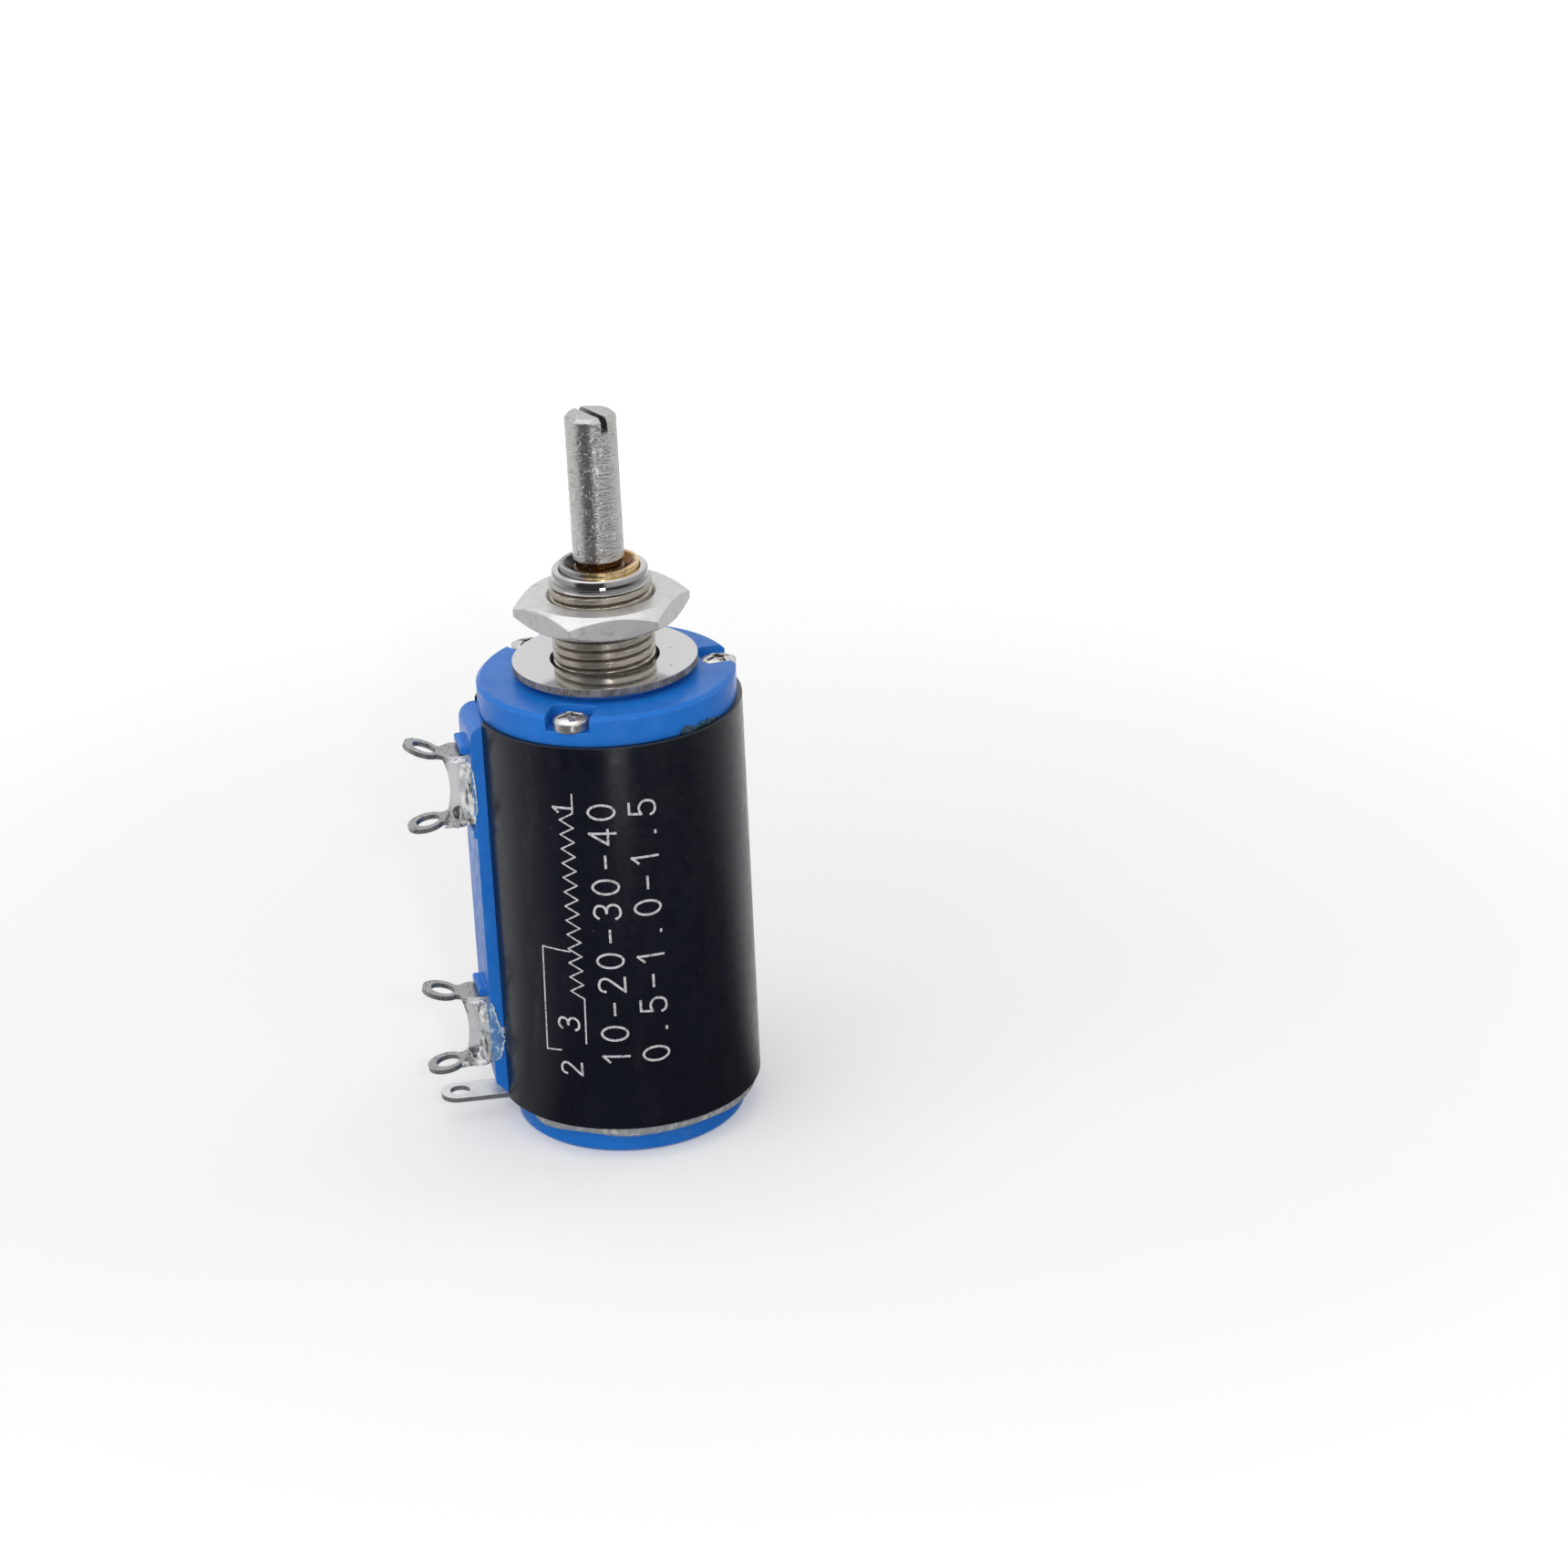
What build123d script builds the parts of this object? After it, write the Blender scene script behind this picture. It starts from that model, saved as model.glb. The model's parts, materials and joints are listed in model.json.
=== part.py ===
"""Multiturn potentiometer: a ten-turn wirewound pot with a threaded bushing and a 4 mm shaft.

Millimetres. The pot stands on its rear cover: the origin is the centre of the rear face, +Z runs
along the shaft towards the knob, and the solder terminals point towards -X.
"""

from build123d import *
from math import cos, radians, sin, tan
import os

os.makedirs("parts", exist_ok=True)

# ---------------------------------------------------------------- driving dimensions
# Fits between pieces
RUNNING_GAP = 0.03          # radial, between a turning journal and its bearing
GUIDE_GAP = 0.05            # each side of a piece that slides in a slot or on a rod
SEAT_GAP = 0.02             # radial, between pieces that are pressed or glued together
SPIGOT_GAP = 0.05           # radial, between a cover's spigot and the tube it closes
END_GAP = 0.1               # axial play of turning pieces
CONTACT_GAP = 0.1           # between a spring contact and the surface that it wipes

# Body tube
BODY_R = 10.55
TUBE_WALL = 1.3
TUBE_LENGTH = 32.6
COLLAR_WALL = 2.95          # thick front collar that takes the cover screws
COLLAR_LENGTH = 4.0
GROOVE_DEPTH = 0.85         # lengthwise groove that holds the terminal strip
GROOVE_WIDTH = 5.5
WINDOW_MARGIN = 0.05        # around a terminal tail where it passes through tube and strip

# Rear cover and its wiper terminal
REAR_COVER_PROUD = 2.8      # how far the cover stands out behind the tube
TAB_STAND_OFF = 0.3         # between the wiper tab and the tube's rear end
REAR_SPIGOT = 1.5           # how far the cover reaches into the tube
REAR_WALL = 1.6
REAR_EDGE_BEVEL = 0.3
PIVOT_BOSS_R = 2.6
PIVOT_BOSS_HEIGHT = 1.2
PIVOT_FLOOR = 1.1           # material left under the blind pivot bore
TAB_REACH = 4.9             # how far the wiper tab reaches past the tube
TAB_WIDTH = 2.8
TAB_HOLE_R = 0.8
TAB_HOLE_INSET = 0.12       # from the centre of the tab's round end inwards to its hole
TAB_MARGIN = 1.0            # sheet left past the rivet's centre
RIVET_INSET = 1.3           # from the cover's wall to the rivet's centre
RIVET_SHANK_R = 0.6
RIVET_HEAD_R = 1.05
RIVET_HEAD_HEIGHT = 0.4
RIVET_DEPTH = 1.0           # how far the rivet goes into the floor
SHEET = 0.4                 # thickness of all stamped terminals
SPRING_SHEET = 0.2
SPRING_WIDTH = 1.7
SPRING_SEAT_LENGTH = 2.4
SPRING_REACH = 2.6          # from the rivet's centre to the brush
SPRING_TIP_LENGTH = 0.5
SPRING_TIP_DROP = 0.3

# Front cover
FRONT_COVER_STEP = 0.4      # how far the cover's side lies inside the tube's
FRONT_PLATE = 2.35
FRONT_EDGE_BEVEL = 0.32
WASHER_BOSS_R = 6.2
WASHER_BOSS_HEIGHT = 0.55
FRONT_SPIGOT = 1.5
POCKET_WIDTH = 3.55
POCKET_DEPTH = 1.25
POCKET_CLEARANCE = 0.18     # between a screw's head and the pocket's inner wall
POCKET_CORNER = 0.6

# Cover screws
SCREW_COUNT = 3
SCREW_START_ANGLE = 5.8     # from +X towards +Y
SCREW_INSET = 1.12          # from the cover's side to the screw's centre
SCREW_HEAD_R = 1.37
SCREW_HEAD_HEIGHT = 0.95
SCREW_HEAD_BEVEL = 0.3
SCREW_SHANK_R = 0.8
SCREW_SHANK_LENGTH = 4.3
SCREW_HOLE_CLEARANCE = 0.1
RECESS_WIDTH = 0.42
RECESS_SPAN = 1.7
RECESS_DEPTH = 0.5

# Threaded bushing, its nut and washer
THREAD_R = 4.0
THREAD_LENGTH = 7.0         # in front of the washer's seat
NOSE_STEP = 0.28
NOSE_HEIGHT = 1.05
NOSE_BEVEL = 0.4
NOSE_BEVEL_HEIGHT = 0.35
NOSE_BEVEL_SHARE = 0.7      # most of the nose's wall that its bevel may take
BUSHING_COLLAR_STEP = 1.2
COLLAR_CLEARANCE = 0.1
WASHER_R = 7.25
WASHER_HOLE_CLEARANCE = 0.3
WASHER_THICKNESS = 0.6
NUT_ACROSS_FLATS = 12.0
NUT_THICKNESS = 2.0
NUT_LIFT = 3.3              # height of the loose nut above the washer
NUT_ANGLE = -58.0
NUT_FACE_INSET = 0.3        # from the flats to the flat ring left by the chamfer on each face
NUT_CHAMFER_ANGLE = 30.0
NUT_COUNTERSINK = 0.25

# Bearing sleeve
SLEEVE_R = 3.1
SLEEVE_PROUD = 0.4
SLEEVE_LIP = 0.4
MOUTH_DEPTH = 0.7

# Shaft
SHAFT_R = 2.0
SHAFT_REACH = 12.0          # from the sleeve's end face to the tip
TIP_CHAMFER = 0.3
RELIEF_DEPTH = 0.2
RELIEF_LENGTH = 0.75
RELIEF_ABOVE_SLEEVE = 0.4   # end of the relief above the sleeve's end face
SLOT_WIDTH = 0.55
SLOT_DEPTH = 1.1
SLOT_ANGLE = -64.0
PIVOT_R = 1.5

# Resistance element: a wound mandrel coiled inside the tube
TURNS = 10
ELEMENT_SECTION = 0.9
OVERRUN_ANGLE = 20.0        # dead length past each end of the wiper's travel

# Rotor drum and its slider
DRUM_CLEARANCE = 0.4        # between the drum's discs and the tube's front collar
DRUM_STEP = 0.3             # from the discs down to the drum
DRUM_DISC = 1.0
DRUM_FRONT_GAP = 0.9        # room for the thrust washer in front of the drum
SLIP_RING_WIDTH = 2.8
SLIP_RING_CLEARANCE_R = 0.4
SLIP_RING_THICKNESS = 0.7
SPRING_ROOM = 1.4           # between the pivot boss and the slip ring
DRUM_SLOT_WIDTH = 3.0
DRUM_SLOT_INNER_R = 3.3
SLIDER_LENGTH = 2.4
SLIDER_REAR_GAP = 0.4       # left between the slider and the drum's rear disc after the last turn
SLIDER_FRONT_GAP = 0.2      # left between the slider and the tube's collar at rest
ROD_R = 0.5
ROD_CIRCLE_R = 4.6
CONTACT_BASE = 0.4
CONTACT_WIDTH = 1.2
FINGER_REACH = 0.45         # how far the fork's fingers reach over the element
FINGER_THICKNESS = 0.35
FINGER_GAP = 0.15
THRUST_WASHER_R = 4.5

# Terminal strip and its two stamped terminals
STRIP_PROUD = 0.8           # how far the middle of the strip's face stands out of the tube
FACE_LEAN = 0.21            # how much further the face's far edge stands out, and its near edge less
STRIP_END_GAP = 0.05
STRIP_FRONT_GAP = 0.3       # between the strip's front end and the front cover
STRIP_CORNER = 1.3
TAPER_START = 3.2           # above the tube's rear end
TAPER_KNEE_HEIGHT = 1.3
TAPER_KNEE_INSET = 0.25
TAPER_FOOT_HEIGHT = 0.4
TAPER_FOOT_INSET = 1.15
RIB_HEIGHT = 0.65
LOW_RIB_HEIGHT = 0.25
RIB_LENGTH = 3.0            # across the face, as wide as the lug it guards
RIB_WIDTH = 0.7
RIB_OFFSET = 0.1            # from a lug to the rib beside it
RIB_ROUND = 0.2
FRONT_TERMINAL_INSET = 6.09  # from the tube's front end to the middle of the front terminal
REAR_TERMINAL_INSET = 5.6   # from the tube's rear end to the middle of the other one
LUG_SPACING = 5.4           # between a terminal's two lugs at the strip
# How far each lug is bent outwards at its root and again at its eyelet, in degrees, upper then lower
FRONT_SPLAY = ((1.0, 21.0), (3.3, 10.0))
REAR_SPLAY = ((4.0, 13.5), (11.5, 8.5))
LUG_STAND_OFF = 0.15        # between the strip's face and the sheet
LUG_WIDTH = 3.0
LUG_SHOULDER = 1.25         # where the lug begins to narrow, from the strip's face
NECK_WIDTH = 1.9
NECK_REACH = 2.0
BEND_REACH = 2.1            # where the eyelet is bent off the root, from the strip's face
EYE_REACH = 1.28            # from the bend to the eyelet's hole
EYE_LEAD = 0.15             # from the hole's centre out to the eyelet's
EYE_R = 1.5
EYE_HOLE_R = 0.97
WEB_UPPER_REACH = 1.95
WEB_WAIST_REACH = 1.53
WEB_LOWER_REACH = 2.3
TAIL_INSET = 1.2
SOLDER_LEG = 0.9
SOLDER_MARGIN = 0.7
GLUE_LEG = 0.75
GLUE_START_ANGLE = -125.0
GLUE_ARC = 150.0

# ---------------------------------------------------------------- places that follow from them
TUBE_BORE_R = BODY_R - TUBE_WALL
COLLAR_R = BODY_R - COLLAR_WALL
TUBE_REAR_Z = REAR_COVER_PROUD
TUBE_FRONT_Z = TUBE_REAR_Z + TUBE_LENGTH
GROOVE_FLOOR_X = BODY_R - GROOVE_DEPTH
STRIP_FACE_X = BODY_R + STRIP_PROUD
STRIP_HALF = GROOVE_WIDTH / 2 - WINDOW_MARGIN
FRONT_COVER_R = BODY_R - FRONT_COVER_STEP
SCREW_CIRCLE_R = FRONT_COVER_R - SCREW_INSET
POCKET_INNER_R = SCREW_CIRCLE_R - SCREW_HEAD_R - POCKET_CLEARANCE
PLATE_TOP_Z = TUBE_FRONT_Z + FRONT_PLATE
WASHER_SEAT_Z = PLATE_TOP_Z + WASHER_BOSS_HEIGHT
WASHER_TOP_Z = WASHER_SEAT_Z + WASHER_THICKNESS
NUT_BASE_Z = WASHER_TOP_Z + NUT_LIFT
NUT_FACE_R = NUT_ACROSS_FLATS / 2 - NUT_FACE_INSET
POCKET_FLOOR_Z = PLATE_TOP_Z - POCKET_DEPTH
SPIGOT_END_Z = TUBE_FRONT_Z - FRONT_SPIGOT
THREAD_TOP_Z = WASHER_SEAT_Z + THREAD_LENGTH
NOSE_R = THREAD_R - NOSE_STEP
NOSE_TOP_Z = THREAD_TOP_Z + NOSE_HEIGHT
BUSHING_COLLAR_R = THREAD_R + BUSHING_COLLAR_STEP
SLEEVE_TOP_Z = NOSE_TOP_Z + SLEEVE_PROUD
TIP_Z = SLEEVE_TOP_Z + SHAFT_REACH
RELIEF_R = SHAFT_R - RELIEF_DEPTH
RELIEF_TOP_Z = SLEEVE_TOP_Z + RELIEF_ABOVE_SLEEVE
REAR_FLOOR = TUBE_REAR_Z - TAB_STAND_OFF - SHEET
PIVOT_TOP_Z = REAR_FLOOR + PIVOT_BOSS_HEIGHT
SLIP_RING_BORE_R = SHAFT_R + SLIP_RING_CLEARANCE_R
SLIP_RING_R = SLIP_RING_BORE_R + SLIP_RING_WIDTH
DRUM_REAR_Z = PIVOT_TOP_Z + SPRING_ROOM + SLIP_RING_THICKNESS
DRUM_FRONT_Z = SPIGOT_END_Z - DRUM_FRONT_GAP
DRUM_DISC_R = COLLAR_R - DRUM_CLEARANCE
DRUM_R = DRUM_DISC_R - DRUM_STEP
ELEMENT_R = TUBE_BORE_R - SPIGOT_GAP - ELEMENT_SECTION / 2
ELEMENT_INNER_R = ELEMENT_R - ELEMENT_SECTION / 2
ELEMENT_LOW_Z = DRUM_REAR_Z + DRUM_DISC + SLIDER_REAR_GAP + SLIDER_LENGTH / 2
SLIDER_Z = TUBE_FRONT_Z - COLLAR_LENGTH - SLIDER_FRONT_GAP - SLIDER_LENGTH / 2
TRAVEL = SLIDER_Z - ELEMENT_LOW_Z           # the slider rests at the front end of its travel
PITCH = TRAVEL / TURNS
CONTACT_OUTER_R = ELEMENT_INNER_R - CONTACT_GAP
CONTACT_INNER_R = CONTACT_OUTER_R - CONTACT_BASE
WEB_Y = LUG_WIDTH / 2                       # front face of each terminal's web, towards -Y
TAIL_END_X = ELEMENT_INNER_R + ELEMENT_SECTION + SPIGOT_GAP + CONTACT_GAP
SCREW_LOCATIONS = PolarLocations(SCREW_CIRCLE_R, SCREW_COUNT, start_angle=SCREW_START_ANGLE)

# ---------------------------------------------------------------- shaft
# One turned piece: knob end with a screwdriver slot, relief at the sleeve, long journal, pivot.
with BuildPart() as shaft:
    with BuildSketch(Plane.XZ) as shaft_profile:
        with BuildLine():
            Polyline(
                (0, PIVOT_FLOOR + END_GAP),
                (PIVOT_R, PIVOT_FLOOR + END_GAP),
                (PIVOT_R, PIVOT_TOP_Z + END_GAP),
                (SHAFT_R, PIVOT_TOP_Z + END_GAP),
                (SHAFT_R, RELIEF_TOP_Z - RELIEF_LENGTH),
                (RELIEF_R, RELIEF_TOP_Z - RELIEF_LENGTH),
                (RELIEF_R, RELIEF_TOP_Z),
                (SHAFT_R, RELIEF_TOP_Z),
                (SHAFT_R, TIP_Z - TIP_CHAMFER),
                (SHAFT_R - TIP_CHAMFER, TIP_Z),
                (0, TIP_Z),
                close=True,
            )
        make_face()
    revolve(axis=Axis.Z)
    with BuildSketch(Plane.XY.offset(TIP_Z)):
        Rectangle(3 * SHAFT_R, SLOT_WIDTH, rotation=SLOT_ANGLE)
    extrude(amount=-SLOT_DEPTH, mode=Mode.SUBTRACT)

# ---------------------------------------------------------------- threaded bushing
# Turned brass with an inner collar that seats behind the front cover. The thread is drawn at its
# outside diameter.
SLEEVE_SEAT_R = SLEEVE_R + SEAT_GAP
nose_bevel = min(NOSE_BEVEL, NOSE_BEVEL_SHARE * (NOSE_R - SLEEVE_SEAT_R))
with BuildPart() as bushing:
    with BuildSketch(Plane.XZ):
        with BuildLine():
            Polyline(
                (SLEEVE_SEAT_R, SPIGOT_END_Z),
                (BUSHING_COLLAR_R, SPIGOT_END_Z),
                (BUSHING_COLLAR_R, TUBE_FRONT_Z),
                (THREAD_R, TUBE_FRONT_Z),
                (THREAD_R, THREAD_TOP_Z),
                (NOSE_R, THREAD_TOP_Z),
                (NOSE_R, NOSE_TOP_Z - NOSE_BEVEL_HEIGHT),
                (NOSE_R - nose_bevel, NOSE_TOP_Z),
                (SLEEVE_SEAT_R, NOSE_TOP_Z),
                close=True,
            )
        make_face()
    revolve(axis=Axis.Z)

# ---------------------------------------------------------------- brass bearing sleeve
BEARING_R = SHAFT_R + RUNNING_GAP
with BuildPart() as bearing_sleeve:
    with BuildSketch(Plane.XZ):
        with BuildLine():
            Polyline(
                (BEARING_R, SPIGOT_END_Z),
                (SLEEVE_R, SPIGOT_END_Z),
                (SLEEVE_R, SLEEVE_TOP_Z),
                (SLEEVE_R - SLEEVE_LIP, SLEEVE_TOP_Z),
                (BEARING_R, SLEEVE_TOP_Z - MOUTH_DEPTH),
                close=True,
            )
        make_face()
    revolve(axis=Axis.Z)

# ---------------------------------------------------------------- panel washer and nut
with BuildPart() as panel_washer:
    with BuildSketch(Plane.XY.offset(WASHER_SEAT_Z)):
        Circle(WASHER_R)
        Circle(THREAD_R + WASHER_HOLE_CLEARANCE, mode=Mode.SUBTRACT)
    extrude(amount=WASHER_THICKNESS)

# The hexagon is trimmed by one double cone, which leaves the scalloped chamfer on both faces.
NUT_MID_Z = NUT_BASE_Z + NUT_THICKNESS / 2
NUT_CONE_R = NUT_FACE_R + NUT_THICKNESS / 2 / tan(radians(NUT_CHAMFER_ANGLE))
NUT_BORE_R = THREAD_R + RUNNING_GAP
with BuildPart() as panel_nut:
    with BuildSketch(Plane.XY.offset(NUT_BASE_Z)):
        RegularPolygon(NUT_ACROSS_FLATS / 2, 6, major_radius=False, rotation=NUT_ANGLE)
        Circle(NUT_BORE_R, mode=Mode.SUBTRACT)
    extrude(amount=NUT_THICKNESS)
    bore_rims = panel_nut.edges().filter_by(GeomType.CIRCLE)
    chamfer(bore_rims, length=NUT_COUNTERSINK)
    with BuildSketch(Plane.XZ):
        with BuildLine():
            Polyline(
                (0, NUT_BASE_Z),
                (NUT_FACE_R, NUT_BASE_Z),
                (NUT_CONE_R, NUT_MID_Z),
                (NUT_FACE_R, NUT_BASE_Z + NUT_THICKNESS),
                (0, NUT_BASE_Z + NUT_THICKNESS),
                close=True,
            )
        make_face()
    revolve(axis=Axis.Z, mode=Mode.INTERSECT)

# ---------------------------------------------------------------- front cover
# Moulded plate with a spigot, a low boss under the washer and open pockets for the screws.
SPIGOT_R = COLLAR_R - SPIGOT_GAP
with BuildPart() as front_cover:
    with BuildSketch(Plane.XZ):
        with BuildLine():
            Polyline(
                (THREAD_R + SEAT_GAP, TUBE_FRONT_Z),
                (BUSHING_COLLAR_R + COLLAR_CLEARANCE, TUBE_FRONT_Z),
                (BUSHING_COLLAR_R + COLLAR_CLEARANCE, SPIGOT_END_Z),
                (SPIGOT_R, SPIGOT_END_Z),
                (SPIGOT_R, TUBE_FRONT_Z),
                (FRONT_COVER_R, TUBE_FRONT_Z),
                (FRONT_COVER_R, PLATE_TOP_Z),
                (WASHER_BOSS_R, PLATE_TOP_Z),
                (WASHER_BOSS_R, WASHER_SEAT_Z),
                (THREAD_R + SEAT_GAP, WASHER_SEAT_Z),
                close=True,
            )
        make_face()
    revolve(axis=Axis.Z)
    circles = front_cover.edges().filter_by(GeomType.CIRCLE)
    plate_circles = circles.filter_by_position(Axis.Z, PLATE_TOP_Z, PLATE_TOP_Z)
    plate_rim = plate_circles.sort_by(SortBy.RADIUS)[-1]
    chamfer(plate_rim, length=FRONT_EDGE_BEVEL)
    pocket_reach = 2 * (FRONT_COVER_R - POCKET_INNER_R)
    pocket_mid_r = POCKET_INNER_R + pocket_reach / 2
    with BuildSketch(Plane.XY.offset(PLATE_TOP_Z)):
        with PolarLocations(pocket_mid_r, SCREW_COUNT, start_angle=SCREW_START_ANGLE):
            RectangleRounded(pocket_reach, POCKET_WIDTH, POCKET_CORNER)
    extrude(amount=-POCKET_DEPTH, mode=Mode.SUBTRACT)
    with BuildSketch(Plane.XY.offset(POCKET_FLOOR_Z)):
        with SCREW_LOCATIONS:
            Circle(SCREW_SHANK_R + SCREW_HOLE_CLEARANCE)
    extrude(amount=-(POCKET_FLOOR_Z - TUBE_FRONT_Z), mode=Mode.SUBTRACT)

# ---------------------------------------------------------------- cover screws
with BuildPart() as cover_screws:
    with BuildSketch(Plane.XY.offset(POCKET_FLOOR_Z - SCREW_SHANK_LENGTH)):
        with SCREW_LOCATIONS:
            Circle(SCREW_SHANK_R)
    extrude(amount=SCREW_SHANK_LENGTH)
    with BuildSketch(Plane.XY.offset(POCKET_FLOOR_Z)):
        with SCREW_LOCATIONS:
            Circle(SCREW_HEAD_R)
    extrude(amount=SCREW_HEAD_HEIGHT)
    head_rims = cover_screws.edges().filter_by(GeomType.CIRCLE).group_by(Axis.Z)[-1]
    chamfer(head_rims, length=SCREW_HEAD_BEVEL)
    with BuildSketch(Plane.XY.offset(POCKET_FLOOR_Z + SCREW_HEAD_HEIGHT)):
        with SCREW_LOCATIONS:
            Rectangle(RECESS_SPAN, RECESS_WIDTH)
            Rectangle(RECESS_WIDTH, RECESS_SPAN)
    extrude(amount=-RECESS_DEPTH, mode=Mode.SUBTRACT)

# ---------------------------------------------------------------- places of the terminals
TERMINAL_MIDS = (TUBE_FRONT_Z - FRONT_TERMINAL_INSET, TUBE_REAR_Z + REAR_TERMINAL_INSET)
TAIL_HEIGHT = LUG_SPACING - 2 * TAIL_INSET
TAIL_Y = -(WEB_Y - SHEET / 2)
STRIP_BACK_X = GROOVE_FLOOR_X + SEAT_GAP
STRIP_REAR_Z = TUBE_REAR_Z + STRIP_END_GAP
STRIP_FRONT_Z = TUBE_FRONT_Z - STRIP_FRONT_GAP


def lug_plane(start_x, start_z, tilt):
    """Plane of a piece of lug: local x runs outwards from its start, tilted up by `tilt` degrees."""
    outward = (-cos(radians(tilt)), 0, sin(radians(tilt)))
    upward = (sin(radians(tilt)), 0, cos(radians(tilt)))
    return Plane(origin=(-start_x, 0, start_z), x_dir=outward, z_dir=upward)


def stamped_terminal(mid_z, splay):
    """One folded sheet: a web with a tail into the tube and an eyelet lug bent off each end."""
    upper_z = mid_z + LUG_SPACING / 2
    lower_z = mid_z - LUG_SPACING / 2
    upper_tilt = splay[0][0]
    lower_tilt = -splay[1][0]
    lugs = (
        (upper_z, upper_tilt, splay[0][1]),
        (lower_z, lower_tilt, -splay[1][1]),
    )
    web_face_x = STRIP_FACE_X + LUG_STAND_OFF
    with BuildPart() as sheet:
        for root_z, tilt, eye_tilt in lugs:
            with BuildSketch(lug_plane(STRIP_FACE_X, root_z, tilt)):
                with BuildLine():
                    Polyline(
                        (LUG_STAND_OFF, -LUG_WIDTH / 2),
                        (LUG_SHOULDER, -LUG_WIDTH / 2),
                        (NECK_REACH, -NECK_WIDTH / 2),
                        (BEND_REACH, -NECK_WIDTH / 2),
                        (BEND_REACH, NECK_WIDTH / 2),
                        (NECK_REACH, NECK_WIDTH / 2),
                        (LUG_SHOULDER, LUG_WIDTH / 2),
                        (LUG_STAND_OFF, LUG_WIDTH / 2),
                        close=True,
                    )
                make_face()
            extrude(amount=SHEET / 2, both=True)
            bend_x = STRIP_FACE_X + BEND_REACH * cos(radians(tilt))
            bend_z = root_z + BEND_REACH * sin(radians(tilt))
            with BuildSketch(lug_plane(bend_x, bend_z, eye_tilt)):
                with Locations((EYE_REACH / 2, 0)):
                    Rectangle(EYE_REACH, NECK_WIDTH)
                with Locations((EYE_REACH + EYE_LEAD, 0)):
                    Circle(EYE_R)
                with Locations((EYE_REACH, 0)):
                    Circle(EYE_HOLE_R, mode=Mode.SUBTRACT)
            extrude(amount=SHEET / 2, both=True)
        upper_rise = WEB_UPPER_REACH * tan(radians(upper_tilt))
        lower_rise = WEB_LOWER_REACH * tan(radians(lower_tilt))
        upper_corner = (-(STRIP_FACE_X + WEB_UPPER_REACH), upper_z + upper_rise)
        lower_corner = (-(STRIP_FACE_X + WEB_LOWER_REACH), lower_z + lower_rise)
        with BuildSketch(Plane.XZ.offset(WEB_Y - SHEET)):
            with BuildLine():
                Polyline(lower_corner, (-web_face_x, lower_z), (-web_face_x, upper_z), upper_corner)
                ThreePointArc(upper_corner, (-(STRIP_FACE_X + WEB_WAIST_REACH), mid_z), lower_corner)
            make_face()
            tail_length = web_face_x - TAIL_END_X
            with Locations((-(web_face_x - tail_length / 2), mid_z)):
                Rectangle(tail_length, TAIL_HEIGHT)
        extrude(amount=SHEET)
    return sheet.part


# ---------------------------------------------------------------- body tube
with BuildPart() as body_tube:
    with BuildSketch(Plane.XZ):
        with BuildLine():
            Polyline(
                (TUBE_BORE_R, TUBE_REAR_Z),
                (BODY_R, TUBE_REAR_Z),
                (BODY_R, TUBE_FRONT_Z),
                (COLLAR_R, TUBE_FRONT_Z),
                (COLLAR_R, TUBE_FRONT_Z - COLLAR_LENGTH),
                (TUBE_BORE_R, TUBE_FRONT_Z - COLLAR_LENGTH),
                close=True,
            )
        make_face()
    revolve(axis=Axis.Z)
    with BuildSketch(Plane.XY.offset(TUBE_REAR_Z)):
        with Locations((-BODY_R, 0)):
            Rectangle(2 * GROOVE_DEPTH, GROOVE_WIDTH)
    extrude(amount=TUBE_LENGTH, mode=Mode.SUBTRACT)
    with BuildSketch(Plane.XY.offset(TUBE_FRONT_Z)):
        with SCREW_LOCATIONS:
            Circle(SCREW_SHANK_R + SEAT_GAP)
    extrude(amount=-COLLAR_LENGTH, mode=Mode.SUBTRACT)
    with BuildSketch(Plane.XZ.offset(-TAIL_Y)):
        for tail_z in TERMINAL_MIDS:
            with Locations((-(GROOVE_FLOOR_X - TUBE_WALL / 2), tail_z)):
                Rectangle(2 * TUBE_WALL, TAIL_HEIGHT + 2 * WINDOW_MARGIN)
    extrude(amount=SHEET / 2 + WINDOW_MARGIN, both=True, mode=Mode.SUBTRACT)

# ---------------------------------------------------------------- terminal strip
# Moulded bar glued in the tube's groove. Its face leans a little, and ribs across it guard the lugs.
def bar_plan(back_x, height, half):
    """Corners of a bar seen along +Z, from `back_x` to `height` outside the leaning face."""
    lean = FACE_LEAN * half / STRIP_HALF
    front_x = STRIP_FACE_X + height
    return (
        (-back_x, half),
        (-(front_x + lean), half),
        (-(front_x - lean), -half),
        (-back_x, -half),
    )


def guard_rib(mid_z, height, half):
    """One rib across the strip's face, with its outer long edges rounded."""
    root_x = STRIP_FACE_X - TAPER_KNEE_INSET
    with BuildPart() as rib:
        with BuildSketch(Plane.XY.offset(mid_z - RIB_WIDTH / 2)):
            with BuildLine():
                Polyline(*bar_plan(root_x, height, half), close=True)
            make_face()
        extrude(amount=RIB_WIDTH)
        outer_edges = rib.faces().sort_by(Axis.X)[0].edges().group_by(Axis.Z)
        fillet(outer_edges[0] + outer_edges[-1], radius=RIB_ROUND)
    return rib.part


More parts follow.
